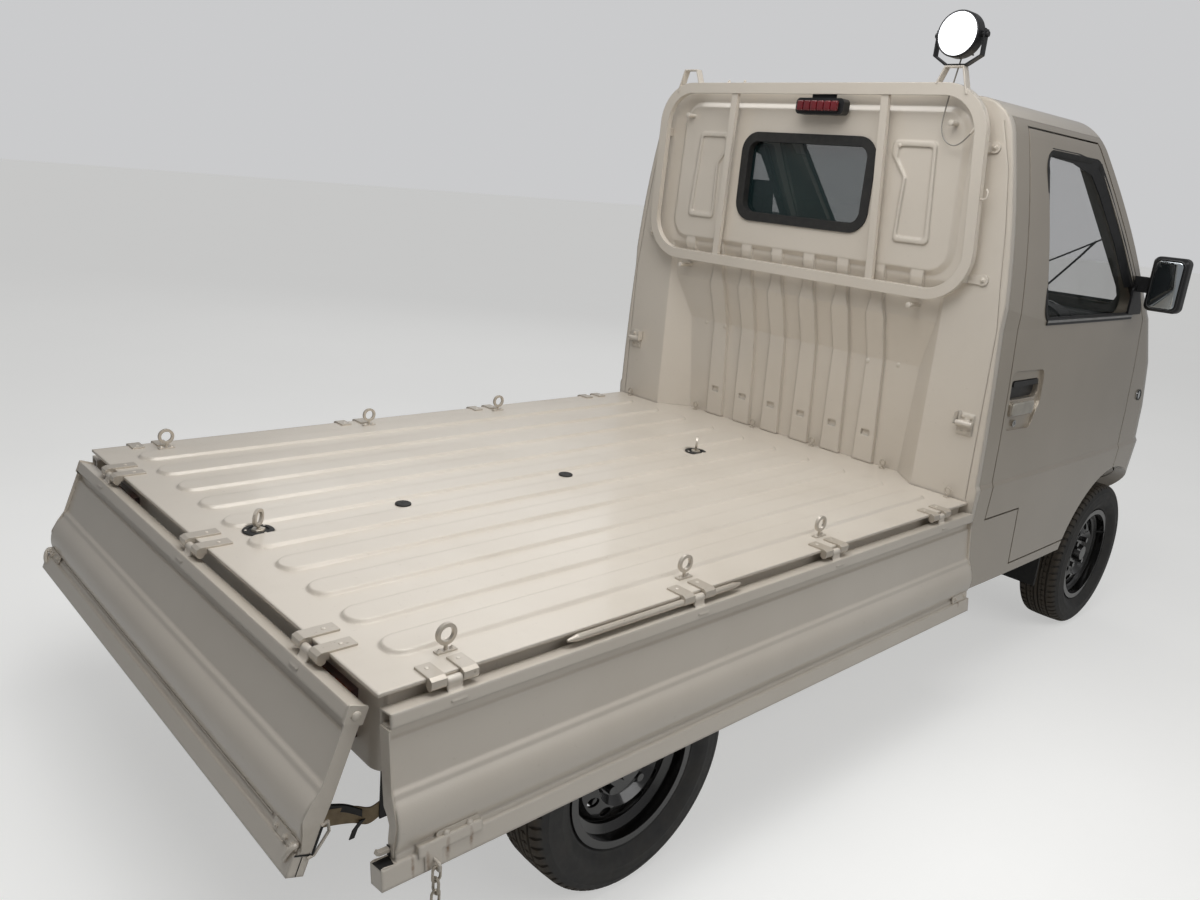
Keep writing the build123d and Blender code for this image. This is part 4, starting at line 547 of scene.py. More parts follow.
def tinted_glass(name, first, second, alpha, rear_shade_alpha):
    """Glass that covers more, by the given rear alpha, in the panes behind the seats; there the darker
    cover is painted shade of the cab's inside.
    """
    material, tree, shader = new_material(name)
    ahead = ramp(tree, split_place(tree)["X"], 0.44, 0.5)
    feed(tree, shader, {
        "Alpha": between(tree, ahead, rear_shade_alpha, alpha),
        "Base Color": two_tone(tree, 0.3, first, second, low=0.4),
        "Roughness": between(tree, noise(tree, 0.05), 0.02, 0.06), "Specular IOR Level": 0.8})
    return material


def tyre_rubber():
    """Dark rubber with tan dust on the tread."""
    material, tree, shader = new_material("tyre")
    wear = tree.nodes.new("ShaderNodeAttribute")
    wear.attribute_name = "wear"
    uneven = between(tree, noise(tree, 0.02, 5.0), 0.1, 0.9)
    dust = maths(tree, "MULTIPLY", ramp(tree, wear.outputs["Fac"], 0.86, 0.99), uneven)
    base = mixed(tree, dust, two_tone(tree, 0.05, (44, 44, 44), (56, 54, 51), 5.0), colour(96, 84, 68))
    feed(tree, shader, {
        "Base Color": base, "Roughness": between(tree, noise(tree, 0.02, 5.0), 0.55, 0.8)})
    bump(tree, shader, noise(tree, 0.002, 3.0), 0.3, 0.0004)
    return material


def flutes(tree, place, pitch):
    """Upright flutes that repeat across a lens."""
    return maths(tree, "SINE", maths(tree, "MULTIPLY", place["Y"], pitch))


def front_lens():
    """Fluted lens over a bright reflector, amber in the low lamps."""
    material, tree, shader = new_material("lamp_lens")
    place = split_place(tree)
    high = ramp(tree, place["Z"], 0.67, 0.675)
    feed(tree, shader, {
        "Base Color": mixed(tree, high, colour(226, 118, 20), colour(222, 226, 228)),
        "Metallic": between(tree, high, 0.1, 0.7),
        "Roughness": between(tree, noise(tree, 0.03), 0.1, 0.2), "Coat Weight": 1.0})
    bump(tree, shader, flutes(tree, place, 420.0), 0.35, 0.0015)
    return material


def lit_lens():
    """Ribbed lens with the lamp on."""
    material, tree, shader = new_material("lit_lens")
    ribs = flutes(tree, split_place(tree), 900.0)
    base = mixed(tree, between(tree, ribs, 0.0, 0.4), colour(250, 251, 255), colour(236, 240, 246))
    feed(tree, shader, {
        "Base Color": base, "Emission Color": base, "Emission Strength": 2.2, "Roughness": 0.15})
    bump(tree, shader, ribs, 0.3, 0.001)
    return material


# Shades, metallic, dirt, roughness, coat, dents, soft edge in metres and rust
PAINTS = {
    # The champagne paint is the body paint in painted shade; the cream, wall, bed, gate, guard and worn
    # paints start from the same paint in painted light
    "champagne_paint": (BODY_PAINT_SHADED, 0.35, 0.05, (0.27, 0.27), 0.7),
    "cream_paint": (BODY_PAINT_LIT, 0.1, 0.08, (0.26, 0.34), 0.5),
    "wall_paint": (BODY_PAINT_LIT, 0.1, 0.1, (0.28, 0.38), 0.5, 0.9, 0.010),
    "bed_paint": (BODY_PAINT_LIT, 0.1, 0.16, (0.3, 0.46), 0.3, 0.25, 0.008),
    "gate_paint": (BODY_PAINT_LIT, 0.1, 0.1, (0.28, 0.38), 0.5, 0.12, 0.008, RUST_SPOTS),
    "guard_paint": (BODY_PAINT_LIT, 0.1, 0.06, (0.28, 0.36), 0.5),
    "fitting_paint": (WORN_CREAM, 0.35, 0.7, (0.26, 0.42), 0.4, 0.0, 0.0015),
    "worn_paint": (BODY_PAINT_LIT, 0.1, 0.7, (0.3, 0.45), 0.3, 0.0, 0.0),
}
# Both colours, grain in metres, roughness, metallic, grain height, coat and soft edge in metres
PLAIN = {
    "mirror_silver": ((196, 202, 206), (184, 190, 194), 0.02, (0.02, 0.05), 1.0, 0.0),
    "satin_steel": ((186, 186, 184), (160, 160, 158), 0.004, (0.18, 0.3), 0.9, 0.1),
    "handle_grey": ((186, 180, 168), (166, 160, 149), 0.003, (0.24, 0.36), 0.25, 0.1, 0.4),
    "tan_strap": ((156, 138, 108), (128, 110, 84), 0.002, (0.5, 0.7), 0.1, 0.3),
    "amber_lens": ((214, 112, 20), (196, 96, 14), 0.01, (0.08, 0.18), 0.0, 0.1, 1.0),
    "stop_lens": ((112, 10, 22), (86, 6, 16), 0.01, (0.1, 0.2), 0.0, 0.1, 1.0),
    # Red lens darkened as painted shade: the rear lamps lie in the hanging tailgate's shade
    "red_lens_painted_shade": ((70, 10, 12), (48, 8, 10), 0.01, (0.1, 0.2), 0.0, 0.1, 0.6),
    "cable_grey": ((150, 146, 138), (132, 128, 120), 0.002, (0.4, 0.6), 0.0, 0.2),
    "black_steel": ((16, 16, 16), (30, 28, 26), 0.006, (0.12, 0.3), 0.1, 0.1, 0.7, 0.002),
    "chassis_paint": ((34, 32, 30), (54, 48, 42), 0.006, (0.6, 0.85), 0.0, 0.3),
    "cast_parts": ((74, 70, 66), (100, 94, 86), 0.006, (0.5, 0.8), 0.6, 0.4),
    "zinc_fittings": ((200, 194, 182), (166, 154, 136), 0.003, (0.26, 0.46), 0.35, 0.2, 0.2, 0.001),
    "black_rubber": ((24, 24, 24), (38, 37, 35), 0.002, (0.5, 0.75), 0.0, 0.2),
    "grey_plastic": ((74, 76, 76), (64, 66, 66), 0.0015, (0.5, 0.65), 0.0, 0.4),
    "black_plastic": ((20, 20, 21), (32, 32, 33), 0.0015, (0.28, 0.5), 0.0, 0.3),
    "seat_vinyl": ((66, 68, 72), (54, 56, 60), 0.002, (0.5, 0.7), 0.0, 0.5),
}
MATERIALS = {name: paint(name, *values) for name, values in PAINTS.items()}
MATERIALS.update({name: plain(name, *values) for name, values in PLAIN.items()})
MATERIALS.update({
    "glass": tinted_glass("door_glass", (40, 54, 52), (34, 46, 46), 0.14, 0.14),
    # The rear window covers more: painted shade of the cab's dark inside
    "cab_glass": tinted_glass("cab_glass", (30, 50, 50), (24, 42, 44), 0.16, 0.5),
    "tyre": tyre_rubber(),
    "lamp_lens": front_lens(),
    "lit_lens": lit_lens()})

# CAD nodes with a finish of their own
NODE_FINISHES = {
    # The tail lamps take the red lens darkened as painted shade
    "guard_frame": "guard_paint", "tail_lamps": "red_lens_painted_shade", "cab_glass": "cab_glass",
    "cab_back": "wall_paint", "bed_fittings": "fitting_paint", "bed_floor": "bed_paint",
    "gate_left": "gate_paint", "gate_right": "gate_paint", "tailgate": "gate_paint"}


def dress_nodes():
    """Each CAD node takes the material of its slot in the record, or its own version of it."""
    slots = {entry["node"]: entry["material_slot"] for entry in frame["record"]["subparts"]}
    for name, node in frame["nodes"].items():
        node.data.materials.clear()
        node.data.materials.append(MATERIALS[NODE_FINISHES.get(name, slots[name])])


# Pieces

def make_cable():
    """Lamp cable: its line is the route's points as a smooth spline, held at both ends."""
    data = bpy.data.curves.new("lamp_cable_flex", "CURVE")
    data.dimensions = "3D"
    data.bevel_depth = CABLE_DIAMETER / 2
    data.bevel_resolution = 4
    data.resolution_u = 16
    spline = data.splines.new("NURBS")
    spline.points.add(len(CABLE_POINTS) - 1)
    for point, place in zip(spline.points, CABLE_POINTS):
        point.co = (*at(*place), 1)
    spline.order_u = 3
    spline.use_endpoint_u = True
    data.materials.append(MATERIALS["cable_grey"])
    cable = add_object("lamp_cable_flex", data)
    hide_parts("lamp_cable")
    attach(cable, "chassis")


# Half section of a tyre: radius and half width, from the bead to the middle of the tread
TYRE_HALF = (
    (160.6, 46.2), (166, 48.2), (172, 48.6), (176, 52), (177.5, 54.8), (180.5, 55.6), (183, 57),
    (190, 63.4), (197, 68.4), (204, 71.8), (208, 72.4), (209.5, 72.9), (211.5, 72.9), (213, 72.4),
    (222, 72.5), (232, 71.6), (239, 70.2), (240.5, 70.6), (243, 70.3), (244.5, 69.2), (250, 67.2),
    (255, 64.6), (259.5, 61.6), (263.2, 57.6), (265.4, 53.5), (266.4, 47), (266.9, 37.5), (261, 36.4),
    (261, 31.8), (267.3, 30.6), (267.8, 20.5), (264.6, 20.1), (264.6, 18.6), (267.8, 18.2), (267.9, 10.6),
    (262, 9.6), (262, 5.2), (268, 4.2))
TYRE_PITCHES = 64
# Where a block's four edges lie within its pitch, and whether they are in the cut behind it
BLOCK_EDGES = ((0.0, False), (0.66, False), (0.72, True), (0.95, True))


def block(r, w, cut):
    """Slant as a turn and depth of the cut between blocks, at a radius and half width of the tyre."""
    wide = abs(w)
    if 40 < wide < 62 and r > 256:
        return 0.012 * (wide - 47) / 15 * math.copysign(1, w), 5.0 if cut else 0.0
    if 11 < wide < 30 and r > 264:
        return 0.02 * (wide - 20) / 9, 3.4 if cut else 0.0
    return 0.0, 0.0


def make_tyres():
    """Tyres with grooves, shoulder blocks and side-wall rings, in the space of the plain ones."""
    route = [(r, -w) for r, w in TYRE_HALF] + [(r, w) for r, w in reversed(TYRE_HALF)]
    for name, (x, side) in WHEELS.items():
        bm = bmesh.new()
        wear = bm.verts.layers.float.new("wear")
        centre = at(x, side * TRACK_HALF, TYRE_R)
        rings = []
        for pitch in range(TYRE_PITCHES):
            for share, cut in BLOCK_EDGES:
                ring = []
                for r, w in route:
                    slant, depth = block(r, w, cut)
                    turn = 2 * math.pi * (pitch + share) / TYRE_PITCHES + slant
                    r -= depth
                    ring.append(centre + mm(math.cos(turn) * r, w, math.sin(turn) * r))
                rings.append(ring)
        add_rings(bm, rings, closed=True)
        for vert in bm.verts:
            spoke = vert.co - centre
            r = 1000 * math.hypot(spoke.x, spoke.z)
            vert[wear] = (r - BEAD_R) / (TYRE_R - BEAD_R)
        tyre = piece("tyre_tread_" + name, bm, "tyre", "wheel_" + name, sharp=28)
        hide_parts("tyre_" + name)
        valve = bmesh.new()
        hole = centre + mm(118, side * 34, 60)
        add_wire(valve, [hole, hole + mm(6, side * 12, 3), hole + mm(8, side * 30, 4)], 3.6)
        piece("valve_" + name, valve, "black_rubber", "wheel_" + name, 0.5)


def make_bed_details():
    """Floor plugs, ring plates' washers, weld nuts and screws on the bed."""
    dark, pale, bright = meshes(3)
    for x in (479, 988):
        add_turned(dark, at(x, 0, BED_Z + 3.6), UP, [
            (19, -3.4), (19.6, -1.6), (18.6, 0.4), (13, 2.2), (12, 1.2), (6, 0.8), (4, 1.8), (1, 2.2)], 32)
    for x in (125, 1520):
        add_turned(dark, at(x, 0, BED_Z), UP, [
            (32, 0.1), (33, 1.8), (31, 3.0), (22, 3.4), (21, 0.4), (10, 0.3)], 36)
        add_turned(bright, at(x, 0, BED_Z), UP, [
            (15, 0.2), (15, 4.4), (13.6, 5.6), (8, 5.8), (4.2, 5.9)], 6, 0.4)
        for turn in (0.7, 2.9, 4.9):
            spot = at(x + 26 * math.cos(turn), 26 * math.sin(turn), BED_Z + 2.6)
            add_rivet(pale, spot, UP, 3.2, 1.8)
    for x in (133, 727, 1214, 1716):
        for side in (-1, 1):
            for way in (-31, 31):
                add_rivet(pale, at(x + way, side * 690, BED_Z + 4), UP, 4.2, 1.6)
    for y in (-513, 0, 513):
        for way in (-31, 31):
            add_rivet(pale, at(28, y + way, BED_Z + 4), UP, 4.2, 1.6)
    for x in (163, 757, 1244):
        for side in (-1, 1):
            for way, turn in ((-13, 0.3), (13, 0.8)):
                add_bolt(pale, at(x + way, side * 653, BED_Z + 3), UP, 3.4, 3.0, turn)
    piece("floor_plugs", dark, "black_rubber", edge=0.4)
    piece("bed_rivets", pale, "worn_paint", edge=0.2)
    piece("ring_nuts", bright, "zinc_fittings", edge=0.5)


def make_wall_details():
    """Bolts, plugs and studs on the cab's back wall and the guard."""
    pale = bmesh.new()
    for side in (-1, 1):
        for y, z in ((632, 1267), (596, 1611)):
            spot = touch(("guard_frame",), at(1800, side * y, z), FORWARD)
            add_bolt(pale, spot, WALL_NORMAL, 5.4, 5.0, 0.5)
        for y, z in ((652, 889), (675, 889), (652, 848), (675, 848)):
            spot = touch(("cab_back",), at(1820, side * y, z), FORWARD)
            add_bolt(pale, spot, WALL_NORMAL, 3.8, 3.4, 0.2)
    for y, z, radius, height in (
            (-289, 973, 7.5, 2.6), (-387, 978, 7.5, 2.6), (289, 976, 7.5, 2.6), (387, 976, 7.5, 2.6),
            (-321, 1604, 6.0, 2.2), (321, 1604, 6.0, 2.2)):
        spot, normal = facing(("cab_back",), at(1700, y, z), FORWARD)
        add_rivet(pale, spot, normal, radius, height)
    for y in (243, 308):
        spot = touch(("guard_frame",), at(GUARD_X, y, 1850), -UP)
        add_bolt(pale, spot, UP, 4.2, 7.0)
    # Hook on the right side tube
    foot = touch(("guard_frame",), at(1836, -700, 1477), Vector((0, 1, 0)))
    add_wire(pale, [foot + mm(0, y, z) for y, z in ((4, 0), (-10, 0), (-16, 6), (-16, 20), (-11, 26))], 2.6)
    piece("wall_bolts", pale, "worn_paint", edge=0.2)


def make_guard_lamps():
    """Cells of the stop lamp's lens, its screws, and the work lamp's bezel, cooling ribs and lit lens."""
    lens, dark, glow = meshes(3)
    cells = 6
    width = (STOP_LAMP_ENDS[1] - STOP_LAMP_ENDS[0]) / cells
    for number in range(cells):
        start = STOP_LAMP_ENDS[0] + width * number
        outline = panel(start + 0.8, 1686.5, start + width - 0.8, 1715.5, 4, 4)
        steps = ((15.5, 0.0), (19.5, 0.0), (22.2, 0.12), (23.4, 0.4))
        add_stepped(lens, outline, (start + width / 2, 1701), steps,
                    lambda y, z, depth: at(GUARD_X - depth, y, z))
    piece("stop_lamp_lens", lens, "stop_lens", edge=0.3)
    for y in (-96, -22):
        add_rivet(dark, at(GUARD_X + 9, y, 1736), REARWARD, 4.0, 2.4)
    middle = at(GUARD_X - 22, *WORK_LAMP)
    add_turned(dark, middle, REARWARD, [
        (57.6, -1), (57.6, 3.5), (55.5, 6), (54, 6), (53, 2), (53, -2), (30, -2)], 48)
    for way in spokes(Vector((0, 1, 0)), UP, 9):
        foot = at(GUARD_X + 8, *WORK_LAMP) + way * 0.043
        half = way.cross(FORWARD) * 0.0015
        back = mm(22, 0, 0)
        add_bar(dark, [foot + half, foot - half, foot - half + back, foot + half + back], way * 0.011)
    piece("work_lamp_bezel", dark, "black_plastic", edge=0.3)
    add_turned(glow, middle, REARWARD, [
        (53.2, 0.5), (53.2, 3), (50, 4.6), (40, 6.6), (20, 8.4), (2, 9)], 48)
    piece("work_lamp_lens", glow, "lit_lens")


# End plates of the side gates and the tailgate: down from the pin and out of the face
SIDE_END = (
    (43, 15), (47, 13), (150, 13), (176, 20), (204, 23), (232, 14), (250, 9), (258, 9), (258, -4),
    (232, -4), (204, 2), (190, -4), (178, -13), (150, -14), (47, -14), (42, -15))
TAIL_END = (
    (16, -16), (16, 16), (43, 16), (47, 14), (150, 14), (176, 22), (204, 27), (232, 17), (252, 11),
    (258, 11), (258, -10), (232, -11), (204, -11), (170, -13), (47, -13), (43, -16))
# Bent wire hook that holds the gate shut, and sliding latch beside the end plate: across, down and out
TAIL_HOOK = (
    (680, 250, 14), (683, 249, 19.8), (681, 256, 24.4), (677, 266, 25.4), (672, 276, 23.2),
    (670, 281, 18.6))
TAIL_LATCH = (
    (691.5, 212, -8), (691.5, 205, -18), (691.5, 222, -26), (691.5, 236, -22), (691.5, 262, -14),
    (691.5, 268, -4))


def add_gate_plate(bm, side, corners, level):
    """Plate on a side gate's ledge."""
    outline = panel(*corners, 5, 3)
    add_bar(bm, [side_gate(side, x, a, level) for x, a in outline], gate_normal(side) * 0.003)


def add_gate_ends(bm, side):
    """End plates, and the bolts and ledge plate at the front end."""
    for x, way in ((8, -1), (1876, 1)):
        add_bar(bm, [side_gate(side, x - way * 0.4, a, b) for a, b in SIDE_END], mm(way * 3.2, 0, 0))
    for x in (1801, 1851):
        add_bolt(bm, side_gate(side, x, 250, 17), gate_normal(side), 4.4, 4.0)
    add_gate_plate(bm, side, (1786, 240, 1868, 261), 14.5)


def make_gate_details():
    """Bolts, rivets, end plates and rail caps of the side gates."""
    left, pale, dark = meshes(3)
    add_gate_ends(pale, -1)
    add_gate_ends(left, 1)
    add_gate_plate(left, 1, (44, 240, 168, 261), 14.5)
    for x in (100, 146):
        add_bolt(left, side_gate(1, x, 250, 17), gate_normal(1), 4.6, 4.2)
    piece("gate_left_bolts", left, "worn_paint", "gate_left", 0.3)
    normal = gate_normal(-1)
    for x in (100, 146):
        add_rivet(pale, side_gate(-1, x, 251, 15.5), normal, 7.4, 7.0)
    add_gate_plate(pale, -1, (82, 242, 166, 262), 13.5)
    # Rolled tongue, and a dark sheet in the rear end that is painted shade of its slot
    slot = ((239, -6), (239, 3), (258, 3), (258, -6))
    add_bar(dark, [side_gate(-1, 4.4, a, b) for a, b in slot], mm(-0.6, 0, 0))
    tongue = ((8, 246), (-4, 246), (-13, 245.5), (-18, 243))
    add_strip(pale, [side_gate(-1, x, a, -1.5) for x, a in tongue], mm(0, -4.5, 0), 7.0)
    add_rivet(pale, side_gate(-1, 12, 222, 17), normal, 4.6, 3.4)
    # Opened cap of the box rail
    low, high = (side_gate(-1, -22, 263, b) for b in (-9, 18))
    add_bar(dark, [low, high, high + mm(24, 0, 0), low + mm(30, 0, 0)], mm(0, 0, 0.4))
    cheek = ((-21.8, 264), (-21.8, 261), (-16, 259.5), (4, 262), (4, 264))
    for b in (-10.6, 19.6):
        add_bar(pale, [side_gate(-1, x, a, b) for x, a in cheek], mm(0, 1.2, 0))
    piece("gate_right_bolts", pale, "worn_paint", "gate_right", 0.3)
    # The slot's dark sheet in these pieces is painted shade
    piece("gate_right_slots", dark, "black_rubber", "gate_right")


def make_tail_details():
    """End plates, rivets, hooks, latches and cap seams of the tailgate."""
    pale, dark = meshes(2)
    for side in (-1, 1):
        for bm, outline, y, reach in (
                (pale, TAIL_END, 688.4, 2.6),
                (pale, rounded([(13, -17.6), (13, 18), (45, 18), (45, -17.6)], 3, 3), 688.4, 4.68),
                (dark, ((262, -9.5), (264.5, -9.5), (264.5, 18), (262, 18)), 688.2, 1.2),
                (dark, ((266, 3), (266, 4.2), (299, 4.2), (299, 3)), 688.2, 0.8)):
            add_bar(bm, [tail_gate(side * y, a, b) for a, b in outline], mm(0, side * reach, 0))
        add_rivet(pale, tail_gate(side * 692.6, 30, 0), Vector((0, side, 0)), 8.6, 5.5)
        for y, height in ((676, 7.0), (652, 7.0), (618, 4.0)):
            add_bolt(pale, tail_gate(side * y, 252, 16.5), TAIL_NORMAL, 4.8, height)
        plate = panel(604, 242, 684, 262, 5, 3)
        add_bar(pale, [tail_gate(side * y, a, 14) for y, a in plate], TAIL_NORMAL * 0.003)
        add_wire(pale, [tail_gate(side * y, a, b) for y, a, b in TAIL_HOOK], 4.6, 12)
        latch = [tail_gate(side * y, a, b) for y, a, b in TAIL_LATCH]
        add_strip(pale, latch[:3], mm(0, side * 3, 0), 3.0)
        add_wire(pale, latch[2:], 2.6, 8, False)
        add_wire(dark, [tail_gate(side * 691.2, a, -11) for a in (215, 262)], 2.2, 8, False)
    # Beads along the ledge and the top edge of the box rail
    for a, b in ((248.5, 12.2), (264.5, 17.6)):
        add_wire(pale, [tail_gate(y, a, b) for y in (-590, 0, 590)], 1.3, 8, False)
    piece("tailgate_bolts", pale, "worn_paint", "tailgate", 0.3)
    piece("tailgate_seams", dark, "black_rubber", "tailgate")


def make_stoppers():
    """Tan strap below each end of the rear sill, with its dark hanger, pad and tongue."""
    for name, side in SIDES:
        strap, hanger = meshes(2)
        line = smooth_path(places(
            side, (80, 609, 356), (56, 605, 344), (30, 597, 352), (-8, 600, 366), (-40, 607, 378),
            (-64, 610, 386)))
        add_strip(strap, line, mm(2, 0, 16), 3.0)
        piece("stopper_strap_" + name, strap, "tan_strap", edge=0.3)
        plate = ((72, 334), (92, 334), (92, 500), (72, 500))
        add_bar(hanger, [at(x, side * 613, z) for x, z in plate], mm(0, -side * 3, 0))
        for z in (344, 366):
            add_bolt(hanger, at(80, side * 610, z), Vector((0, -side, 0)), 4.0, 5.0)
        pad = smooth_path(places(side, (44, 600, 352), (12, 596, 372), (-36, 602, 394)))
        add_strip(hanger, pad, mm(0, 0, 7), 7.0)
        tongue = places(side, (44, 604, 340), (32, 600, 322), (26, 600, 306))
        add_strip(hanger, tongue, mm(5, 0, 0), 2.4)
        piece("stopper_hanger_" + name, hanger, "black_rubber", edge=0.4)


def make_doors():
    """Window rubber, sash, belt strips, handle, lock, inner trim and mirror glass of each door."""
    window = rounded([(2150, 1160), (2905, 1160), (2462, 1622), (2088, 1622)], 42, 8)
    section = ((-9, -13), (-9, 0.5), (-2, 3.2), (6, 3.2), (7.5, 1.5), (7.5, -1.5), (1, -3), (-2, -13))
    for name, side in SIDES:
        body = "door_" + name
        way = Vector((0, -side, 0))

        def start(point, y=side * BESIDE_Y):
            return at(point[0], y, point[1])

        loop_strip("window_rubber_" + name, (body,), window, start, way, section, "black_rubber", body)
        make_sash(name, side, body, way)
        make_handle(name, side, body, way)
        make_door_trim(name, side, body)
        make_mirror(name, side, body)


def make_mirror(name, side, body):
    """Mirror glass on the rear face of its housing, with a bezel."""
    outline = panel(758, 1199, 838, 1348, 14, 5)
    glass, rim = meshes(2)
    add_stepped(glass, outline, (798, 1273), ((2802.6, 0.0), (2800.8, 0.0), (2800, 2.5 / 60)),
                lambda y, z, x: at(x, side * y, z), 0.6)
    piece("mirror_glass_" + name, glass, "mirror_silver", body, 0.3)
    add_rings(rim, [
        [at(x, side * y, z) for y, z in grown(outline, growth)] for growth, x in (
            (1.0, 2803), (1.0, 2799.6), (4.0, 2798.6), (7.0, 2799.6), (8.0, 2804))], closed=True)
    piece("mirror_rim_" + name, rim, "black_plastic", body, 0.3)


def make_sash(name, side, body, way):
    """Black run channel along the windscreen pillar, mirror base and the belt strips."""
    dark, silver = meshes(2)
    glass = body + "_glass"

    def skin(x, z, out):
        return touch((body, glass), at(x, side * BESIDE_Y, z), way) - way * (out / 1000)

    # Wide black channel: from the top rear corner forwards and down the pillar
    inner = ((2140, 1612), (2300, 1606), (2440, 1582), (2500, 1530), (2640, 1390), (2770, 1250))
    outer = ((2125, 1634), (2310, 1634), (2478, 1618), (2540, 1556), (2690, 1400), (2826, 1258))
    rows = []
    depth = mm(0, side * 3, 0)
    for (x0, z0), (x1, z1) in zip(inner, outer):
        low = touch((glass,), at(x0, side * BESIDE_Y, z0), way) - way * 0.0012
        edge = skin(x1, z1, 2.0)
        rows.append([low, edge, edge - depth, low - depth])
    add_rings(dark, rows)
    # Mirror base, level with the outermost point of the door below it
    corners = [(2790, 1163), (2908, 1163), (2900, 1182), (2846, 1252), (2812, 1262), (2790, 1250)]
    base = [skin(x, z, 0) for x, z in rounded(corners, 8, 3)]
    level = side * (max(abs(point.y) for point in base) - 0.001)
    add_bar(dark, [Vector((point.x, level, point.z)) for point in base], mm(0, side * 7, 0))
    # Belt: a dark wiper with a bright strip over it
    line = []
    for number in range(15):
        spot = skin(2160 + number * 48, 1150, 1.0)
        line.append(Vector((spot.x, spot.y, 1.157)))
    add_strip(dark, line, mm(0, 0, 9), 6.0)
    add_strip(silver, [point + mm(0, side * 3.4, 2) for point in line], mm(0, 0, 3.5), 2.0)
    piece("window_sash_" + name, dark, "black_plastic", body, 0.4)
    piece("belt_strip_" + name, silver, "satin_steel", body, 0.3)


def make_handle(name, side, body, way):
    """Dark cup, grey paddle and key lock in the door's dish."""
    dark, grey, bright = meshes(3)
    cup, grip, lock = (
        touch((body,), at(x, side * BESIDE_Y, z), way) for x, z in ((2106, 964), (2096, 910), (2065, 867)))
    out = -way
    y = cup.y * 1000
    add_bar(dark, [at(x, y, z) for x, z in panel(2019, 937, 2193, 989, 18, 5)], out * 0.003)
    add_bar(dark, [at(x, y + side * 3, z) for x, z in panel(2026, 974, 2188, 990, 7, 4)], out * 0.014)
    add_stepped(grey, panel(2026, 891, 2166, 929, 12, 5), (2096, 910), (
        (-1.0, 0.0), (2.6, 0.0), (4.6, 0.06), (5.6, 0.16)),
        lambda x, z, depth: at(x, grip.y * 1000 + side * depth, z), 1.6)
    add_turned(bright, lock, out, [
        (10.5, -0.5), (10.5, 1.4), (9, 2.2), (7.5, 2.2), (7, 1.2), (2.2, 1.2)], 28)
    slot = ((-1, -4.6), (1, -4.6), (1, 4.6), (-1, 4.6))
    add_bar(dark, [lock + mm(x, side * 1.2, z) for x, z in slot], out * 0.0004)
    piece("handle_cup_" + name, dark, "black_plastic", body, 0.5)
    piece("handle_paddle_" + name, grey, "handle_grey", body, 0.6)
    piece("door_lock_" + name, bright, "satin_steel", body, 0.2)


def make_door_trim(name, side, body):
    """Inner panel of the door: arm rest and window crank."""
    bm, crank = meshes(2)
    outline = rounded([(2100, 700), (2860, 700), (2880, 1120), (2100, 1120)], 40, 5)
    way = Vector((0, side, 0))
    level = 1000 * min(abs(touch((body,), at(x, side * 300, z), way).y) for x, z in outline)
    for route, centre, steps in (
            (outline, (2480, 910), ((0.2, 0.0), (-4.0, 0.0), (-6.5, 0.02))),
            (panel(2240, 905, 2600, 965, 18, 5), (2420, 935), ((-4, 0.0), (-34, 0.0), (-42, 0.08)))):
        add_stepped(bm, route, centre, steps, lambda x, z, depth: at(x, side * (level + depth), z))
    hub = at(2680, side * (level - 6), 880)
    knob = hub + mm(-90, -side * 22, -60)
    add_turned(crank, hub, -way, [(20, 0), (20, 6), (16, 10), (8, 12), (7, 22), (3, 23)], 24)
    add_wire(crank, [hub + mm(0, -side * 16, 0), hub + mm(-50, -side * 20, -30), knob], 5.0)
    add_turned(crank, knob, -way, [(6, 0), (11, 4), (12, 14), (9, 22), (3, 24)], 18)
    piece("door_panel_" + name, bm, "grey_plastic", body, 1.0)
    piece("window_crank_" + name, crank, "black_plastic", body, 0.3)


def make_windscreen():
    """Rubber round the windscreen, wipers and their arms."""
    screen = rounded([(-590, 1170), (590, 1170), (535, 1666), (-535, 1666)], 60, 6)
    nodes = ("cab_roof", "cab_front", "cab_side_left", "cab_side_right")
    section = ((-9, -14), (-9, 0.5), (-2, 3.5), (8, 3.2), (10, 1.2), (10, -2), (2, -3), (-2, -14))
    loop_strip("windscreen_rubber", nodes, screen, before_nose, REARWARD, section, "black_rubber")
    dark = bmesh.new()
    # Foot and tip of each arm, and how far the blade climbs
    for foot_y, tip_y, tip_z, climb in ((250, -60, 1430, 60), (-250, -520, 1380, 90)):
        line = []
        for number in range(9):
            share = number / 8
            point = (foot_y + (tip_y - foot_y) * share, 1176 + (tip_z - 1176) * share)
            spot = touch(("cab_glass",) + nodes, before_nose(point), REARWARD)
            line.append(spot + mm(16 if number < 7 else 12, 0, 4))
        add_wire(dark, line, 4.0, 8)
        base = touch(nodes, before_nose((foot_y, 1158)), REARWARD)
        add_wire(dark, [base - mm(4, 0, 0), base + mm(14, 0, 4), line[0]], 6.0)
        blade = []
        for number in range(11):
            share = number / 10
            point = (tip_y - 210 + 420 * share, tip_z + climb - 2 * climb * share)
            spot = touch(("cab_glass",) + nodes, before_nose(point), REARWARD)
            if spot is not None:
                blade.append(spot + mm(6, 0, 2))
        add_strip(dark, blade, mm(6, 0, 2), 5.0)
    piece("wipers", dark, "black_plastic", edge=0.3)


def on_dashboard(y, z):
    return touch(("dashboard",), at(2700, y, z), FORWARD)


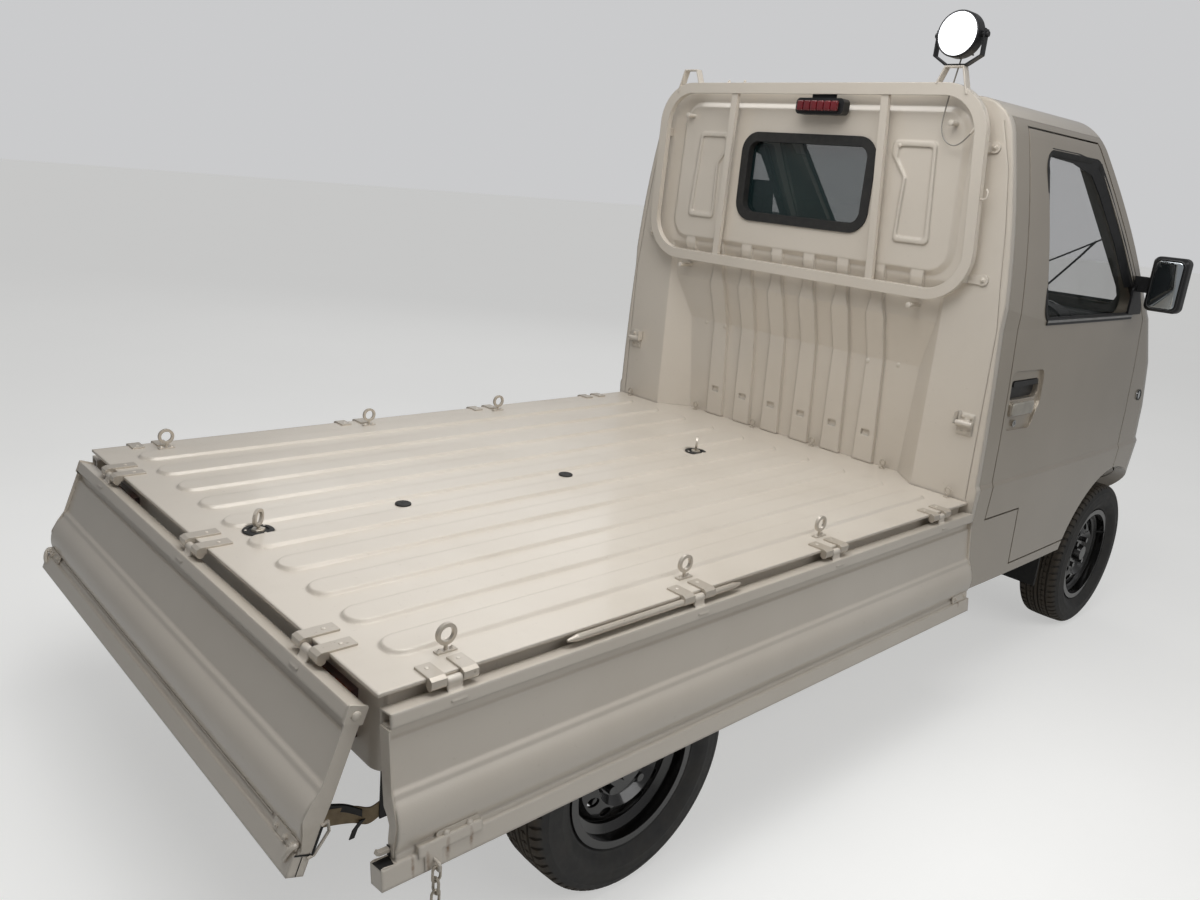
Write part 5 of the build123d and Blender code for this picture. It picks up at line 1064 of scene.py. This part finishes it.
def make_cabin_details():
    """Seat seams, gear and brake levers, instrument hood and dials, knobs and vents."""
    dark, grey, seam = meshes(3)
    for side in (-1, 1):
        for offset in (-150, -50, 50, 150):
            line = []
            for number in range(7):
                start = at(2180 + number * 55, side * 325 + offset, 1400)
                line.append(touch(("seats",), start, -UP) + mm(0, 0, 1))
            add_wire(seam, line, 3.0, 6)
    piece("seat_seams", seam, "seat_vinyl")
    floor = touch(("cab_floor",), at(2560, 0, 1300), -UP)
    add_turned(dark, floor, UP, [(52, -1), (52, 6), (44, 16), (30, 30), (16, 52), (11, 60)], 28)
    stick = [floor + mm(0, 0, 50), floor + mm(-20, 0, 160), floor + mm(-45, 0, 260)]
    add_wire(grey, stick, 6.0)
    add_turned(dark, stick[-1], Vector((-0.1, 0, 1)), [
        (9, -4), (18, 2), (23, 14), (24, 26), (19, 40), (8, 46)], 24)
    brake = touch(("cab_floor", "seats"), at(2300, 0, 1300), -UP)
    add_wire(dark, [brake + mm(0, 0, -4), brake + mm(20, 0, 30), brake + mm(200, 0, 70)], 11.0, 12)
    hood = []
    for number in range(13):
        turn = math.pi * number / 12
        hood.append(at(2905, -325 - 150 * math.cos(turn), 1098 + 62 * math.sin(turn)))
    add_strip(dark, hood, mm(50, 0, 0), 8.0)
    for y in (-390, -262):
        add_turned(grey, at(2925, y, 1110), Vector((-1, 0, 0.25)), [
            (52, -14), (52, 4), (48, 7), (46, 1), (4, 0)], 36)
    for y in (-80, 0, 80):
        spot = on_dashboard(y, 960)
        add_turned(grey, spot, REARWARD, [(24, -2), (24, 3), (19, 5), (17, 16), (6, 18)], 28)
    for y in (-620, 620):
        spot = on_dashboard(y, 1040)
        outline = panel(y - 60, 1010, y + 60, 1070, 16, 4)
        add_bar(dark, [Vector((spot.x - 0.002, u / 1000, v / 1000)) for u, v in outline], mm(6, 0, 0))
    piece("cabin_controls", dark, "black_plastic", edge=0.4)
    piece("cabin_levers", grey, "satin_steel", edge=0.3)


def add_rear_lens(bm, side, low, high):
    """One lens of a rear lamp between two places across."""
    outline = panel(side * low, 524, side * high, 606, 6, 3)
    add_bar(bm, [at(6.5, y, z) for y, z in outline], mm(-4.5, 0, 0))


def make_lamp_details():
    """Lenses, ribs and screws of the rear lamps, rims of the front lamps and the side markers' rims."""
    rib, clear, dark, amber = meshes(4)
    for side in (-1, 1):
        for low, high, bm in ((424, 490, rib), (560, 616, clear)):
            add_rear_lens(bm, side, low, high)
            ends = (side * (low + 5), side * (high - 5))
            for z in range(536, 606, 14):
                corners = ((ends[0], z), (ends[1], z), (ends[1], z + 5), (ends[0], z + 5))
                add_bar(bm, [at(2, y, height) for y, height in corners], mm(-2, 0, 0))
        for y in (492, 558):
            add_rivet(dark, at(5, side * y, 565), REARWARD, 3.4, 2.0)
    # Red lenses darkened as painted shade of the tailgate
    piece("rear_lamp_lenses", rib, "red_lens_painted_shade", edge=0.4)
    piece("reversing_lenses", clear, "lamp_lens", edge=0.4)
    section = ((-3.5, -2), (-3.5, 1.6), (0, 2.6), (3.0, 1.6), (3.0, -2))
    for name, side in reversed(SIDES):
        add_rear_lens(amber, side, 494, 556)
        for kind, outline in (("headlamp_rim_", HEAD_LAMP), ("turn_lamp_rim_", TURN_LAMP)):
            route = rounded([(side * y, z) for y, z in outline], 12, 4)
            loop_strip(kind + name, ("front_lamps", "cab_front", "front_bumper"), route, before_nose,
                       REARWARD, section, "black_plastic")
        spot, normal = facing(("front_lamps", "cab_front", "door_left", "door_right"),
                              at(3061, side * BESIDE_Y, 870), Vector((0, -side, 0)))
        add_turned(dark, spot, normal, [(19.5, -1), (19.5, 1.4), (17.5, 2.2), (15.5, 1.6), (15, -1)], 32)
    piece("rear_turn_lenses", amber, "amber_lens", edge=0.4)
    piece("lamp_rims", dark, "black_plastic", edge=0.3)


def make_running_details():
    """Nuts on the springs and bolts on the mud guards."""
    steel = bmesh.new()
    for side in (-1, 1):
        for x in (REAR_AXLE_X - 60, REAR_AXLE_X + 60):
            for y in (side * 427, side * 477):
                add_turned(steel, at(x, y, 360), UP, [(9, 0), (9, 14), (6, 16), (5, 26)], 6)
        for y in (480, 560, 650):
            spot = touch(("mud_guards",), at(2500, side * y, 360), FORWARD)
            add_bolt(steel, spot, REARWARD, 5.0, 4.0)
    piece("spring_nuts", steel, "zinc_fittings", edge=0.2)


# Stage

def seen_rays(tree):
    """1 for rays straight to the background or through glass, less for reflections of it."""
    rays = tree.nodes.new("ShaderNodeLightPath").outputs
    glossy = maths(tree, "MULTIPLY", rays["Is Glossy Ray"], GLOSSY_SHARE)
    seen = maths(tree, "MAXIMUM", rays["Is Camera Ray"], glossy)
    return maths(tree, "MAXIMUM", seen, rays["Is Transmission Ray"])


def make_stage():
    mesh = bpy.data.meshes.new("floor")
    corners = [(x * FLOOR_REACH, y * FLOOR_REACH, 0) for x, y in ((-1, -1), (1, -1), (1, 1), (-1, 1))]
    mesh.from_pydata(corners, [], [(0, 1, 2, 3)])
    floor = add_object("floor", mesh)
    material, tree, shader = new_material("floor_pale")
    feed(tree, shader, {
        "Base Color": two_tone(tree, 0.8, (206, 206, 204), (200, 200, 198), low=0.3, high=0.8),
        "Roughness": 0.8, "Specular IOR Level": 0.1, "Emission Color": (1, 1, 0.99, 1),
        "Emission Strength": maths(tree, "MULTIPLY", seen_rays(tree), FLOOR_GLOW)})
    mesh.materials.append(material)


def area_light(name, place, target, size, power):
    data = bpy.data.lights.new(name, "AREA")
    data.shape = "RECTANGLE"
    data.size = size[0]
    data.size_y = size[1]
    data.energy = power
    lamp = add_object(name, data)
    lamp.location = place
    way = Vector(target) - Vector(place)
    lamp.rotation_euler = way.to_track_quat("-Z", "Y").to_euler()


def make_lights():
    for light in LIGHTS:
        area_light(*light)
    world = bpy.data.worlds.new("studio")
    bpy.context.scene.world = world
    world.use_nodes = True
    tree = world.node_tree
    feed(tree, tree.nodes["Background"], {
        "Color": (0.98, 0.985, 1.0, 1),
        "Strength": between(tree, seen_rays(tree), WORLD_LIGHT, BACKDROP_LIGHT)})


def make_camera():
    """Looks along the heading, down and rolled as the photograph's camera was."""
    flat = Vector((math.cos(CAMERA_HEADING), math.sin(CAMERA_HEADING), 0))
    ahead = flat * math.cos(CAMERA_DOWN) - UP * math.sin(CAMERA_DOWN)
    right = ahead.cross(UP).normalized()
    upward = right.cross(ahead)
    tilt_right = right * math.cos(CAMERA_ROLL) + upward * math.sin(CAMERA_ROLL)
    tilt_up = upward * math.cos(CAMERA_ROLL) - right * math.sin(CAMERA_ROLL)
    data = bpy.data.cameras.new("camera")
    data.lens = CAMERA_LENS
    data.sensor_width = SENSOR_WIDTH
    data.sensor_fit = "HORIZONTAL"
    camera = add_object("camera", data)
    turn = Matrix((tilt_right, tilt_up, -ahead)).transposed().to_4x4()
    camera.matrix_world = Matrix.Translation(CAMERA_PLACE) @ turn
    bpy.context.scene.camera = camera


make_camera()
make_cable()
dress_nodes()
make_tyres()
make_bed_details()
make_wall_details()
make_guard_lamps()
make_gate_details()
make_tail_details()
make_stoppers()
make_doors()
make_windscreen()
make_cabin_details()
make_lamp_details()
make_running_details()
make_stage()
make_lights()
bpy.context.scene.view_settings.view_transform = "Standard"
